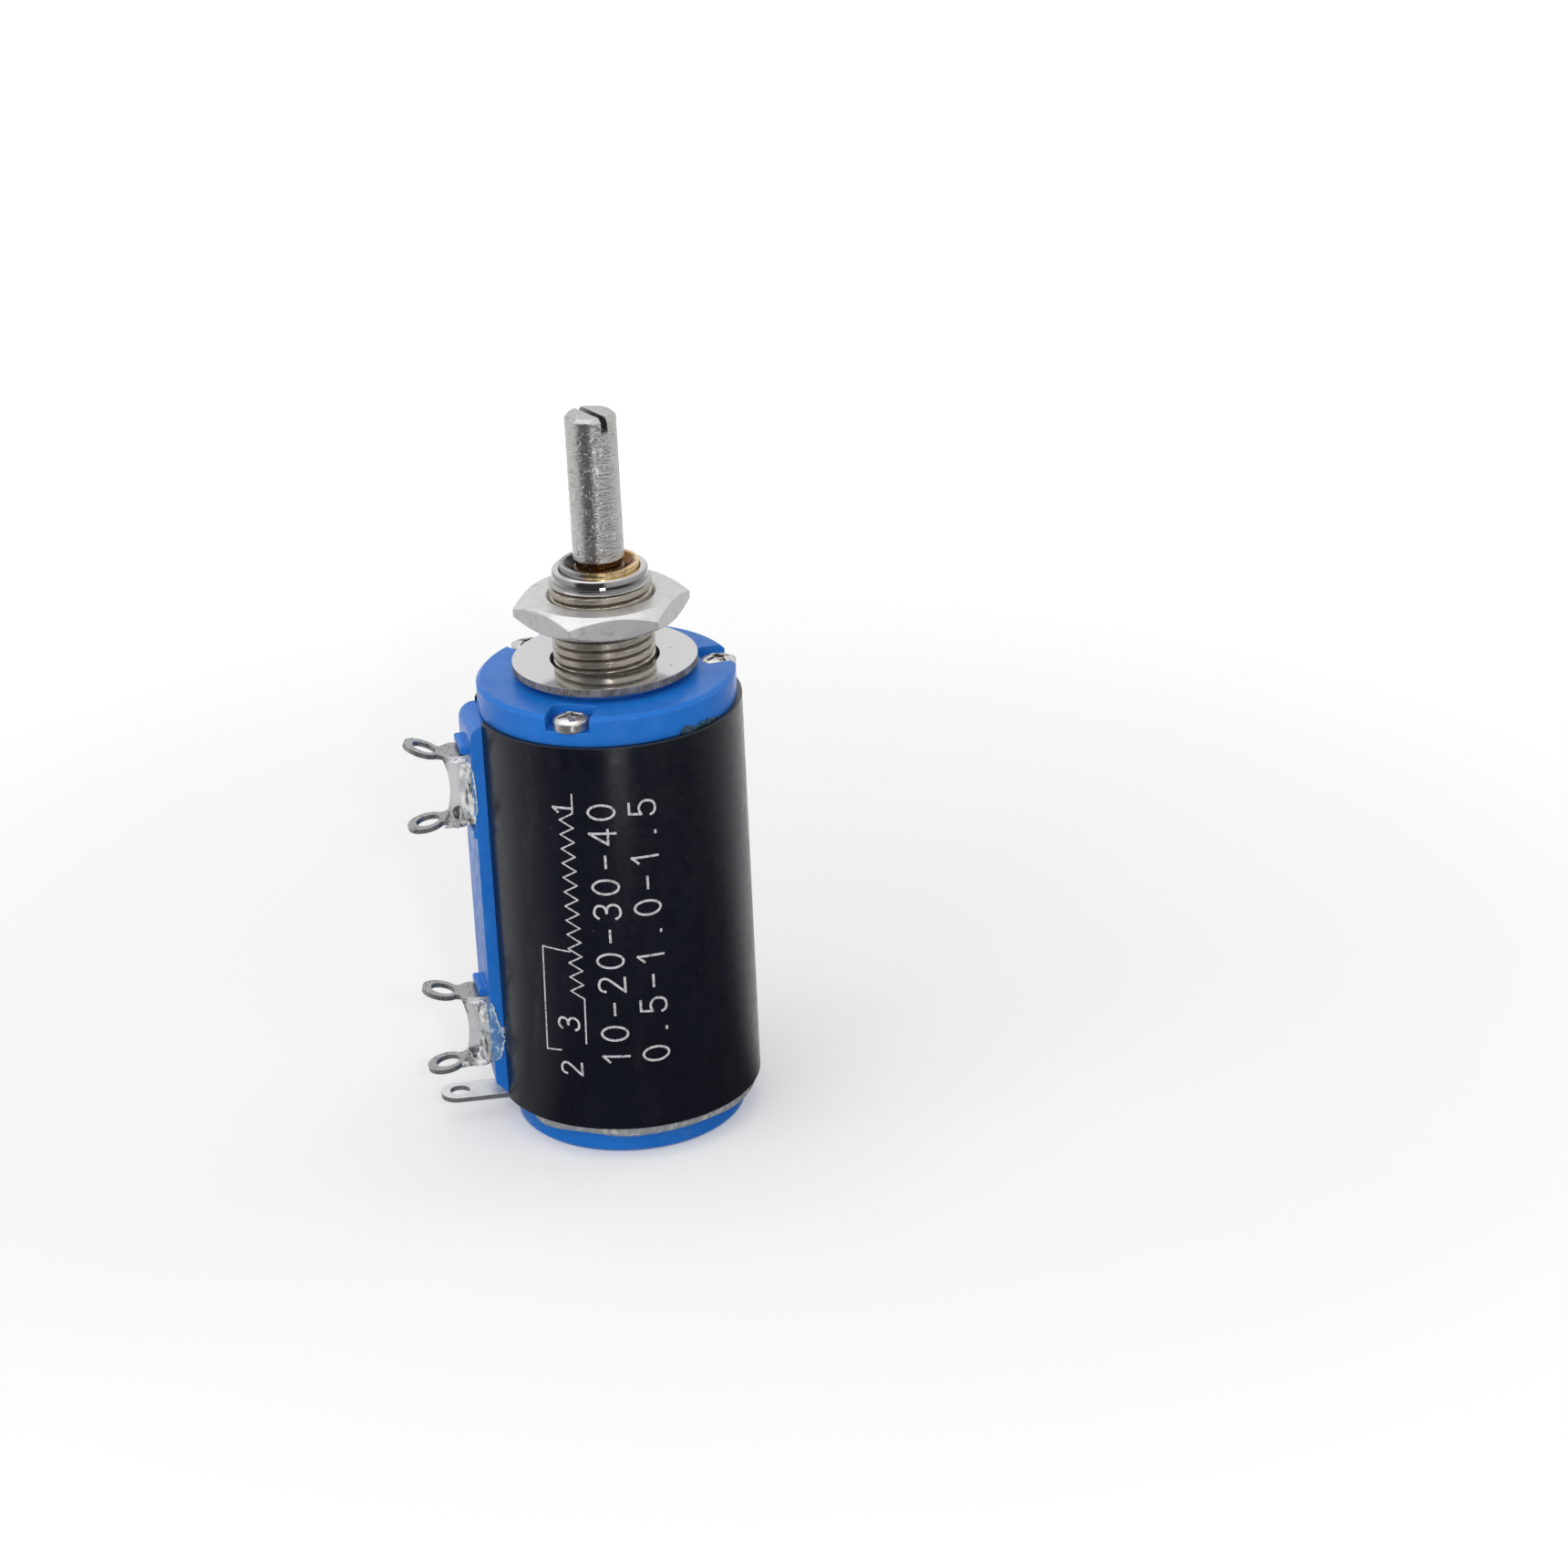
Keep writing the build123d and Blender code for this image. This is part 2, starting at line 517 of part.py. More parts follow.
with BuildPart() as terminal_strip:
    with BuildSketch(Plane.XY.offset(STRIP_REAR_Z)):
        with BuildLine():
            Polyline(*bar_plan(STRIP_BACK_X, 0, STRIP_HALF), close=True)
        make_face()
    extrude(amount=STRIP_FRONT_Z - STRIP_REAR_Z)
    top_edges = terminal_strip.edges().group_by(Axis.Z)[-1]
    fillet(top_edges.sort_by(Axis.X)[0], radius=STRIP_CORNER)
    taper_edge_x = STRIP_FACE_X + FACE_LEAN
    with BuildSketch(Plane.XZ):
        with BuildLine():
            Polyline(
                (-taper_edge_x, TUBE_REAR_Z + TAPER_START),
                (-STRIP_FACE_X + TAPER_KNEE_INSET, TUBE_REAR_Z + TAPER_KNEE_HEIGHT),
                (-STRIP_FACE_X + TAPER_FOOT_INSET, TUBE_REAR_Z + TAPER_FOOT_HEIGHT),
                (-STRIP_FACE_X + TAPER_FOOT_INSET, STRIP_REAR_Z),
                (-taper_edge_x, STRIP_REAR_Z),
                close=True,
            )
        make_face()
    extrude(amount=STRIP_HALF, both=True, mode=Mode.SUBTRACT)
    rib_shift = LUG_SPACING / 2 + SHEET / 2 + RIB_OFFSET + RIB_WIDTH / 2
    add(guard_rib(TERMINAL_MIDS[0] + rib_shift, RIB_HEIGHT, RIB_LENGTH / 2))
    add(guard_rib(TERMINAL_MIDS[1] + rib_shift, RIB_HEIGHT, RIB_LENGTH / 2))
    add(guard_rib(TERMINAL_MIDS[0] - rib_shift, LOW_RIB_HEIGHT, STRIP_HALF))
    with BuildSketch(Plane.XZ.offset(-TAIL_Y)):
        for tail_z in TERMINAL_MIDS:
            with Locations((-(STRIP_BACK_X + STRIP_FACE_X) / 2, tail_z)):
                Rectangle(2 * (STRIP_FACE_X - STRIP_BACK_X), TAIL_HEIGHT + 2 * WINDOW_MARGIN)
    extrude(amount=SHEET / 2 + WINDOW_MARGIN, both=True, mode=Mode.SUBTRACT)

# ---------------------------------------------------------------- stamped terminals and their solder
front_sheet = stamped_terminal(TERMINAL_MIDS[0], FRONT_SPLAY)
with BuildPart() as front_terminal:
    add(front_sheet)

rear_sheet = stamped_terminal(TERMINAL_MIDS[1], REAR_SPLAY)
with BuildPart() as rear_end_terminal:
    add(rear_sheet)

# A fillet of solder runs along each web where it leaves the strip.
SOLDER_Y = -(WEB_Y + SEAT_GAP)
FACE_SLOPE = FACE_LEAN / STRIP_HALF
SOLDER_X = -(STRIP_FACE_X + FACE_SLOPE * SOLDER_Y + SEAT_GAP)
SOLDER_LENGTH = LUG_SPACING - 2 * SOLDER_MARGIN
SOLDER_CORNER = (SOLDER_X, SOLDER_Y)
SOLDER_ON_WEB = (SOLDER_X - SOLDER_LEG, SOLDER_Y)
SOLDER_ON_STRIP = (SOLDER_X + FACE_SLOPE * SOLDER_LEG, SOLDER_Y - SOLDER_LEG)
with BuildPart() as front_solder:
    with BuildSketch(Plane.XY.offset(TERMINAL_MIDS[0] - SOLDER_LENGTH / 2)):
        with BuildLine():
            Polyline(SOLDER_ON_WEB, SOLDER_CORNER, SOLDER_ON_STRIP)
            RadiusArc(SOLDER_ON_STRIP, SOLDER_ON_WEB, -2 * SOLDER_LEG)
        make_face()
    extrude(amount=SOLDER_LENGTH)

with BuildPart() as rear_solder:
    with BuildSketch(Plane.XY.offset(TERMINAL_MIDS[1] - SOLDER_LENGTH / 2)):
        with BuildLine():
            Polyline(SOLDER_ON_WEB, SOLDER_CORNER, SOLDER_ON_STRIP)
            RadiusArc(SOLDER_ON_STRIP, SOLDER_ON_WEB, -2 * SOLDER_LEG)
        make_face()
    extrude(amount=SOLDER_LENGTH)

# ---------------------------------------------------------------- rear cover
REAR_COVER_R = TUBE_BORE_R - SPIGOT_GAP
REAR_COVER_TOP_Z = TUBE_REAR_Z + REAR_SPIGOT
REAR_HOLLOW_R = REAR_COVER_R - REAR_WALL
RIVET_X = REAR_HOLLOW_R - RIVET_INSET
with BuildPart() as rear_cover:
    with BuildSketch(Plane.XZ):
        with BuildLine():
            Polyline(
                (0, 0),
                (REAR_COVER_R, 0),
                (REAR_COVER_R, REAR_COVER_TOP_Z),
                (REAR_HOLLOW_R, REAR_COVER_TOP_Z),
                (REAR_HOLLOW_R, REAR_FLOOR),
                (PIVOT_BOSS_R, REAR_FLOOR),
                (PIVOT_BOSS_R, PIVOT_TOP_Z),
                (PIVOT_R + RUNNING_GAP, PIVOT_TOP_Z),
                (PIVOT_R + RUNNING_GAP, PIVOT_FLOOR),
                (0, PIVOT_FLOOR),
                close=True,
            )
        make_face()
    revolve(axis=Axis.Z)
    rear_rim = rear_cover.edges().filter_by(GeomType.CIRCLE).group_by(Axis.Z)[0]
    chamfer(rear_rim, length=REAR_EDGE_BEVEL)
    with BuildSketch(Plane.XY.offset(REAR_FLOOR)):
        with Locations((-(REAR_HOLLOW_R + REAR_COVER_R) / 2, 0)):
            Rectangle(2 * REAR_WALL, TAB_WIDTH + 2 * GUIDE_GAP)
    extrude(amount=SHEET + GUIDE_GAP, mode=Mode.SUBTRACT)
    with BuildSketch(Plane.XY.offset(REAR_FLOOR)):
        with Locations((-RIVET_X, 0)):
            Circle(RIVET_SHANK_R + SEAT_GAP)
    extrude(amount=-RIVET_DEPTH, mode=Mode.SUBTRACT)

# ---------------------------------------------------------------- wiper terminal, rivet and brush spring
TAB_EYE_X = BODY_R + TAB_REACH - TAB_WIDTH / 2
TAB_INNER_X = RIVET_X - TAB_MARGIN
with BuildPart() as wiper_terminal:
    with BuildSketch(Plane.XY.offset(REAR_FLOOR)):
        with Locations((-(TAB_EYE_X + TAB_INNER_X) / 2, 0)):
            Rectangle(TAB_EYE_X - TAB_INNER_X, TAB_WIDTH)
        with Locations((-TAB_EYE_X, 0)):
            Circle(TAB_WIDTH / 2)
        with Locations((-TAB_EYE_X + TAB_HOLE_INSET, 0)):
            Circle(TAB_HOLE_R, mode=Mode.SUBTRACT)
        with Locations((-RIVET_X, 0)):
            Circle(RIVET_SHANK_R + SEAT_GAP, mode=Mode.SUBTRACT)
    extrude(amount=SHEET)

SPRING_SEAT_Z = REAR_FLOOR + SHEET
SPRING_TIP_X = RIVET_X - SPRING_REACH
SPRING_TIP_Z = DRUM_REAR_Z - SLIP_RING_THICKNESS - CONTACT_GAP
SPRING_OUTER_X = RIVET_X + SPRING_SEAT_LENGTH / 2
SPRING_BEND_X = RIVET_X - SPRING_SEAT_LENGTH / 2
with BuildPart() as brush_spring:
    with BuildSketch(Plane.XZ):
        with BuildLine():
            Polyline(
                (-SPRING_OUTER_X, SPRING_SEAT_Z),
                (-SPRING_BEND_X, SPRING_SEAT_Z),
                (-SPRING_TIP_X, SPRING_TIP_Z - SPRING_SHEET),
                (-SPRING_TIP_X + SPRING_TIP_LENGTH, SPRING_TIP_Z - SPRING_TIP_DROP - SPRING_SHEET),
                (-SPRING_TIP_X + SPRING_TIP_LENGTH, SPRING_TIP_Z - SPRING_TIP_DROP),
                (-SPRING_TIP_X, SPRING_TIP_Z),
                (-SPRING_BEND_X - SPRING_SHEET / 2, SPRING_SEAT_Z + SPRING_SHEET),
                (-SPRING_OUTER_X, SPRING_SEAT_Z + SPRING_SHEET),
                close=True,
            )
        make_face()
    extrude(amount=SPRING_WIDTH / 2, both=True)
    with BuildSketch(Plane.XY.offset(SPRING_SEAT_Z)):
        with Locations((-RIVET_X, 0)):
            Circle(RIVET_SHANK_R + SEAT_GAP)
    extrude(amount=SPRING_SHEET, mode=Mode.SUBTRACT)

with BuildPart() as terminal_rivet:
    with BuildSketch(Plane.XY.offset(REAR_FLOOR - RIVET_DEPTH)):
        with Locations((-RIVET_X, 0)):
            Circle(RIVET_SHANK_R)
    extrude(amount=RIVET_DEPTH + SHEET + SPRING_SHEET)
    with BuildSketch(Plane.XY.offset(SPRING_SEAT_Z + SPRING_SHEET)):
        with Locations((-RIVET_X, 0)):
            Circle(RIVET_HEAD_R)
    extrude(amount=RIVET_HEAD_HEIGHT)

# ---------------------------------------------------------------- glue bead between tube and cover
GLUE_X = REAR_COVER_R + SEAT_GAP
GLUE_Z = TUBE_REAR_Z - SEAT_GAP
with BuildPart() as seam_glue:
    with BuildSketch(Plane.XZ.rotated((0, 0, GLUE_START_ANGLE))):
        with BuildLine():
            Polyline((GLUE_X, GLUE_Z - GLUE_LEG), (GLUE_X, GLUE_Z), (GLUE_X + GLUE_LEG, GLUE_Z), close=True)
        make_face()
    revolve(axis=Axis.Z, revolution_arc=GLUE_ARC)

# ---------------------------------------------------------------- resistance element
# The wound mandrel lies against the tube's bore as a right-handed coil. It passes the wiper's side
# (-X) once per turn, and it runs on a little past each end of the travel.
OVERRUN_RISE = PITCH * OVERRUN_ANGLE / 360
with BuildPart() as resistance_helix:
    with BuildLine(Plane.XY.offset(ELEMENT_LOW_Z - OVERRUN_RISE)):
        coil = Helix(PITCH, TRAVEL + 2 * OVERRUN_RISE, ELEMENT_R)
    with BuildSketch(Plane(origin=coil @ 0, x_dir=(1, 0, 0), z_dir=coil % 0)):
        Rectangle(ELEMENT_SECTION, ELEMENT_SECTION)
    sweep(path=coil, is_frenet=True)
# A helix always starts on +X, so the coil is turned to start one overrun before the wiper's side.
resistance_helix.part = resistance_helix.part.rotate(Axis.Z, 180 - OVERRUN_ANGLE)

# ---------------------------------------------------------------- rotor drum
DRUM_LENGTH = DRUM_FRONT_Z - DRUM_REAR_Z
SLOT_LENGTH = DRUM_LENGTH - 2 * DRUM_DISC
ROD_END_Z = DRUM_FRONT_Z - DRUM_DISC / 2
with BuildPart() as rotor_drum:
    with BuildSketch(Plane.XZ):
        with BuildLine():
            Polyline(
                (SHAFT_R + SEAT_GAP, DRUM_REAR_Z),
                (DRUM_DISC_R, DRUM_REAR_Z),
                (DRUM_DISC_R, DRUM_REAR_Z + DRUM_DISC),
                (DRUM_R, DRUM_REAR_Z + DRUM_DISC),
                (DRUM_R, DRUM_FRONT_Z - DRUM_DISC),
                (DRUM_DISC_R, DRUM_FRONT_Z - DRUM_DISC),
                (DRUM_DISC_R, DRUM_FRONT_Z),
                (SHAFT_R + SEAT_GAP, DRUM_FRONT_Z),
                close=True,
            )
        make_face()
    revolve(axis=Axis.Z)
    with BuildSketch(Plane.XY.offset(DRUM_REAR_Z + DRUM_DISC)):
        with Locations((-(DRUM_SLOT_INNER_R + DRUM_DISC_R / 2), 0)):
            Rectangle(DRUM_DISC_R, DRUM_SLOT_WIDTH)
    extrude(amount=SLOT_LENGTH, mode=Mode.SUBTRACT)
    with BuildSketch(Plane.XY.offset(DRUM_REAR_Z)):
        with Locations((-ROD_CIRCLE_R, 0)):
            Circle(ROD_R + SEAT_GAP)
    extrude(amount=ROD_END_Z - DRUM_REAR_Z, mode=Mode.SUBTRACT)

with BuildPart() as slip_ring:
    with BuildSketch(Plane.XY.offset(DRUM_REAR_Z - SLIP_RING_THICKNESS)):
        Circle(SLIP_RING_R)
        Circle(SLIP_RING_BORE_R, mode=Mode.SUBTRACT)
    extrude(amount=SLIP_RING_THICKNESS)

with BuildPart() as collector_rod:
    with BuildSketch(Plane.XY.offset(DRUM_REAR_Z)):
        with Locations((-ROD_CIRCLE_R, 0)):
            Circle(ROD_R)
    extrude(amount=ROD_END_Z - DRUM_REAR_Z)

# ---------------------------------------------------------------- slider and its wiper contact
SLIDER_INNER_X = DRUM_SLOT_INNER_R + GUIDE_GAP
SLIDER_DEPTH = CONTACT_INNER_R - SLIDER_INNER_X
SLIDER_WIDTH = DRUM_SLOT_WIDTH - 2 * GUIDE_GAP
with BuildPart() as slider_block:
    with BuildSketch(Plane.XY.offset(SLIDER_Z - SLIDER_LENGTH / 2)):
        with Locations((-(SLIDER_INNER_X + SLIDER_DEPTH / 2), 0)):
            Rectangle(SLIDER_DEPTH, SLIDER_WIDTH)
        with Locations((-ROD_CIRCLE_R, 0)):
            Circle(ROD_R + GUIDE_GAP, mode=Mode.SUBTRACT)
    extrude(amount=SLIDER_LENGTH)

# The fork's two fingers straddle one turn of the coil and walk the slider along.
FORK_Z = ELEMENT_SECTION / 2 + FINGER_GAP + FINGER_THICKNESS / 2
with BuildPart() as wiper_contact:
    with BuildSketch(Plane.XZ):
        with Locations((-(CONTACT_INNER_R + CONTACT_BASE / 2), SLIDER_Z)):
            Rectangle(CONTACT_BASE, 2 * FORK_Z + FINGER_THICKNESS)
        with Locations(
            (-(CONTACT_INNER_R + (CONTACT_BASE + FINGER_REACH) / 2), SLIDER_Z + FORK_Z),
            (-(CONTACT_INNER_R + (CONTACT_BASE + FINGER_REACH) / 2), SLIDER_Z - FORK_Z),
        ):
            Rectangle(CONTACT_BASE + FINGER_REACH, FINGER_THICKNESS)
    extrude(amount=CONTACT_WIDTH / 2, both=True)

# ---------------------------------------------------------------- thrust washer in front of the drum
with BuildPart() as thrust_washer:
    with BuildSketch(Plane.XY.offset(SPIGOT_END_Z)):
        Circle(THRUST_WASHER_R)
        Circle(SHAFT_R + COLLAR_CLEARANCE, mode=Mode.SUBTRACT)
    extrude(amount=-(DRUM_FRONT_GAP - END_GAP))

# ---------------------------------------------------------------- export
pieces = {
    "shaft": shaft,
    "bushing": bushing,
    "bearing_sleeve": bearing_sleeve,
    "panel_washer": panel_washer,
    "panel_nut": panel_nut,
    "front_cover": front_cover,
    "cover_screws": cover_screws,
    "body_tube": body_tube,
    "terminal_strip": terminal_strip,
    "front_terminal": front_terminal,
    "rear_end_terminal": rear_end_terminal,
    "front_solder": front_solder,
    "rear_solder": rear_solder,
    "rear_cover": rear_cover,
    "wiper_terminal": wiper_terminal,
    "brush_spring": brush_spring,
    "terminal_rivet": terminal_rivet,
    "seam_glue": seam_glue,
    "resistance_helix": resistance_helix,
    "rotor_drum": rotor_drum,
    "slip_ring": slip_ring,
    "collector_rod": collector_rod,
    "slider_block": slider_block,
    "wiper_contact": wiper_contact,
    "thrust_washer": thrust_washer,
}
for piece_name, piece in pieces.items():
    piece.part.label = piece_name
    export_step(piece.part, "parts/" + piece_name + ".step")
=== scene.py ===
"""Looks of a ten-turn wirewound potentiometer: plated metal, mouldings, solder, glue and print.

Sizes are in millimetres until a mesh is made. The axis of the shaft is Z, the rear cover stands on Z = 0, and the
solder terminals point towards -X.
"""

import json
import logging
from dataclasses import dataclass
from enum import Enum

import bpy
import numpy as np
from mathutils import Matrix, Vector

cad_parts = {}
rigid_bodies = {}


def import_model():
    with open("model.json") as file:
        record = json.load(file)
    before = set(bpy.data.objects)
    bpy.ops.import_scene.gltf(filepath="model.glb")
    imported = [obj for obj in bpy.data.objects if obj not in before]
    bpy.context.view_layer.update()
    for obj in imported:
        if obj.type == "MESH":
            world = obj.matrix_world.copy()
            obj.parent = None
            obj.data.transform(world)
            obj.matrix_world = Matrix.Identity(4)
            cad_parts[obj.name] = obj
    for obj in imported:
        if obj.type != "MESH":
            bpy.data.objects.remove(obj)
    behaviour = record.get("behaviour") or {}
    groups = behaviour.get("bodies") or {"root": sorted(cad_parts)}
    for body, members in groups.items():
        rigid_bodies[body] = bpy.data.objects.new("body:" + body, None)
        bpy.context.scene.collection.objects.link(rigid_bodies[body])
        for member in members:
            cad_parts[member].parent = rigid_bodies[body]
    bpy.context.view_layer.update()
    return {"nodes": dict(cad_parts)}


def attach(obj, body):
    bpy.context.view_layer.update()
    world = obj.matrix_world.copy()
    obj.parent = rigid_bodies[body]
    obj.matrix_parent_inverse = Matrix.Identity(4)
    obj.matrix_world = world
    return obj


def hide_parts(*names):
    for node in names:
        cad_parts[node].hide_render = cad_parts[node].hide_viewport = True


for leftover in list(bpy.data.objects):
    bpy.data.objects.remove(leftover)
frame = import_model()

log = logging.getLogger("potentiometer")

MM = 0.001
TURN = 2.0 * np.pi
Pair = tuple[float, float]
Triple = tuple[float, float, float]
Colour = Triple
Socket = bpy.types.NodeSocket


class Grain(Enum):
    """Which way the fine marks of a metal run, as how often they repeat along x, y and z."""

    EVEN = (1.0, 1.0, 1.0)
    ALONG = (1.0, 1.0, 0.25)
    AROUND = (0.6, 0.6, 2.2)


class Body(Enum):
    """The moving part that the made pieces ride on."""

    HOUSING = "housing"


# ---------------------------------------------------------------- surfaces


def smooth_step(value: np.ndarray, low: float, high: float) -> np.ndarray:
    """Rises from 0 at low to 1 at high as three t squared less two t cubed."""
    t = np.clip((value - low) / (high - low), 0.0, 1.0)
    return t * t * (3.0 - 2.0 * t)


def unit(vectors: np.ndarray) -> np.ndarray:
    """Each vector over its own length."""
    return vectors / np.linalg.norm(vectors, axis=-1, keepdims=True)


def round_angles(columns: int) -> np.ndarray:
    """Angles in even steps once round."""
    return np.linspace(0.0, TURN, columns, endpoint=False)


def polar(radius: np.ndarray | float, angle: np.ndarray | float, height: np.ndarray | float) -> np.ndarray:
    """Points about the Z axis: x is r cos a and y is r sin a."""
    return np.stack(np.broadcast_arrays(radius * np.cos(angle), radius * np.sin(angle), height), -1)


def swung(points: np.ndarray, degrees: float) -> np.ndarray:
    """Turns points about the Z axis: x cos a less y sin a, and x sin a plus y cos a.

    Args:
        points: Places with x, y, z last.
        degrees: How far they turn.

    Returns:
        The turned places.
    """
    x, y, z = np.moveaxis(points, -1, 0)
    a = np.radians(degrees)
    return np.stack([x * np.cos(a) - y * np.sin(a), x * np.sin(a) + y * np.cos(a), z], -1)


def distances(points: np.ndarray) -> np.ndarray:
    """How far along the line through them each point lies."""
    return np.concatenate([[0.0], np.cumsum(np.linalg.norm(np.diff(points, axis=0), axis=1))])


def walked(points: np.ndarray, at: np.ndarray) -> np.ndarray:
    """Places on the line through the points, at distances along it."""
    run = distances(points)
    return np.stack([np.interp(at, run, column) for column in points.T], -1)


def ripple(points: np.ndarray, size: float, seed: int, waves: int = 26) -> np.ndarray:
    """Smooth lumps, mostly between -1 and 1: a sum of plane waves in random directions.

    Each wave is the sine of a full turn times the way along its direction over its length, plus its own phase.

    Args:
        points: Places to work it out at, with x, y, z last.
        size: The middle wave length in millimetres.
        seed: Start of the random directions, lengths and phases.
        waves: How many waves are added.

    Returns:
        One number for each place.
    """
    draw = np.random.default_rng(seed)
    directions = unit(draw.normal(size=(waves, 3)))
    lengths = size * draw.uniform(0.6, 1.9, waves)
    phases = draw.uniform(0.0, TURN, waves)
    return np.sin(TURN * (points @ directions.T) / lengths + phases).sum(-1) / (1.5 * np.sqrt(waves / 2.0))


def ripple_along(line: np.ndarray, size: float, seed: int) -> np.ndarray:
    """The ripple at places on a straight line."""
    return ripple(line[:, None] * (1.0, 0.0, 0.0), size, seed)


def rounded(corners: list[Pair], radius: float, steps: int = 4) -> np.ndarray:
    """Open profile through the corners, with each inner corner cut by a curve.

    The curve starts and ends the radius away from the corner along its two sides. Between, it is the mean of start,
    corner and end with the weights (1 - t) squared, 2 t (1 - t) and t squared.

    Args:
        corners: Radius and height of each corner, in order.
        radius: How far from its corner each curve starts and ends.
        steps: Points on each curve.

    Returns:
        The profile's points, one row each.
    """
    points = np.asarray(corners, float)
    inner = points[1:-1]
    back, ahead = points[:-2] - inner, points[2:] - inner
    lengths = [np.linalg.norm(side, axis=1, keepdims=True) for side in (back, ahead)]
    cut = np.minimum(radius, 0.45 * np.minimum(*lengths))
    start, end = ((inner + unit(side) * cut)[:, None] for side in (back, ahead))
    t = np.linspace(0.0, 1.0, steps)[None, :, None]
    curves = (1 - t) ** 2 * start + 2 * t * (1 - t) * inner[:, None] + t**2 * end
    return np.vstack([points[:1], curves.reshape(-1, 2), points[-1:]])


def smoothed(points: np.ndarray, steps: int = 8) -> np.ndarray:
    """Curve through points in a plane: on each span a cubic.

    Its slope at a point is half the step between the point's neighbours.

    Args:
        points: Places in the plane, in order.
        steps: Points on each span.

    Returns:
        The curve's points, one row each.
    """
    padded = np.vstack([2 * points[0] - points[1], points, 2 * points[-1] - points[-2]])
    before, first, second, after = (padded[i : len(padded) - 3 + i, None] for i in range(4))
    t = np.linspace(0.0, 1.0, steps, endpoint=False)[None, :, None]
    spans = 0.5 * (2 * first + (second - before) * t + (2 * before - 5 * first + 4 * second - after) * t**2
                   + (3 * first - before - 3 * second + after) * t**3)
    return np.vstack([spans.reshape(-1, 2), points[-1:]])


def turned(profile: np.ndarray, columns: int, cut: np.ndarray | float = 0.0) -> np.ndarray:
    """Carries a profile round the Z axis, with the cut taken off its radius first."""
    return polar(profile[:, :1] - cut, round_angles(columns), profile[:, 1:])


def bead(path: np.ndarray, across: np.ndarray | Triple, out: np.ndarray | Triple, halves: tuple, lump: float,
         lump_size: float, seed: int, columns: int = 28, stretch: Triple = Grain.EVEN.value) -> np.ndarray:
    """Lumpy run along a path. Its section is an ellipse, and each point is pushed from the path by the lumps.

    A point is the path's point plus cos a times the first half width along `across` plus sin a times the second
    along `out`, both times one plus the lump times the ripple there.

    Args:
        path: Middle line, one point a row.
        across: Unit vector for each row, or for all.
        out: Unit vector for each row, or for all, square to the path with `across`.
        halves: The two half widths, each for every row or for all.
        lump: Height of the lumps as a share of the half widths.
        lump_size: Wave length of the lumps.
        seed: Which lumps.
        columns: Points round the section.
        stretch: How often the lumps repeat along x, y and z.

    Returns:
        Grid of points with the columns going round.
    """
    angle = round_angles(columns)[None, :, None]
    across, out = (np.broadcast_to(side, path.shape)[:, None] for side in (across, out))
    wide, high = (np.broadcast_to(half, len(path))[:, None, None] for half in halves)
    arm = np.cos(angle) * wide * across + np.sin(angle) * high * out
    spread = (path[:, None] + arm) * np.array(stretch)
    push = 1.0 + lump * (ripple(spread, lump_size, seed) + 0.5 * ripple(spread, lump_size / 2.4, seed + 1))
    return path[:, None] + arm * push[..., None]


# ---------------------------------------------------------------- objects


def new_mesh(name: str, points: np.ndarray, faces: list[list[int]]) -> bpy.types.Mesh:
    """Makes a mesh from points in millimetres.

    Args:
        name: The mesh's name.
        points: Places with x, y, z last.
        faces: The numbers of the points round each face.

    Returns:
        The mesh.
    """
    mesh = bpy.data.meshes.new(name)
    mesh.from_pydata((points.reshape(-1, 3) * MM).tolist(), [], faces)
    return mesh


def new_object(name: str, data: bpy.types.ID) -> bpy.types.Object:
    """Puts a mesh, lamp or camera into the scene.

    Args:
        name: The object's name.
        data: What it shows or gives off.

    Returns:
        The object.
    """
    made = bpy.data.objects.new(name, data)
    bpy.context.scene.collection.objects.link(made)
    return made


def grid_faces(rows: int, columns: int, looped: bool, first: int) -> list[list[int]]:
    """Faces of a grid whose columns run round and close.

    The face between rows i and i + 1 and columns j and j + 1 goes round its four points, columns first.

    Args:
        rows: The grid's rows.
        columns: The grid's columns.
        looped: The last row joins the first one. Otherwise two poles, numbered after the grid, close the ends.
        first: Number of the grid's first point.

    Returns:
        The faces.
    """
    here = np.arange(rows if looped else rows - 1)[:, None]
    there = (here + 1) % rows
    left = np.arange(columns)[None, :]
    right = (left + 1) % columns
    corners = [here * columns + left, here * columns + right, there * columns + right, there * columns + left]
    faces = (np.stack(corners, -1).reshape(-1, 4) + first).tolist()
    if not looped:
        last, pole = (rows - 1) * columns, np.full(columns, rows * columns)
        for fan in ([pole, right[0], left[0]], [pole + 1, last + left[0], last + right[0]]):
            faces += (np.stack(fan, -1) + first).tolist()
    return faces


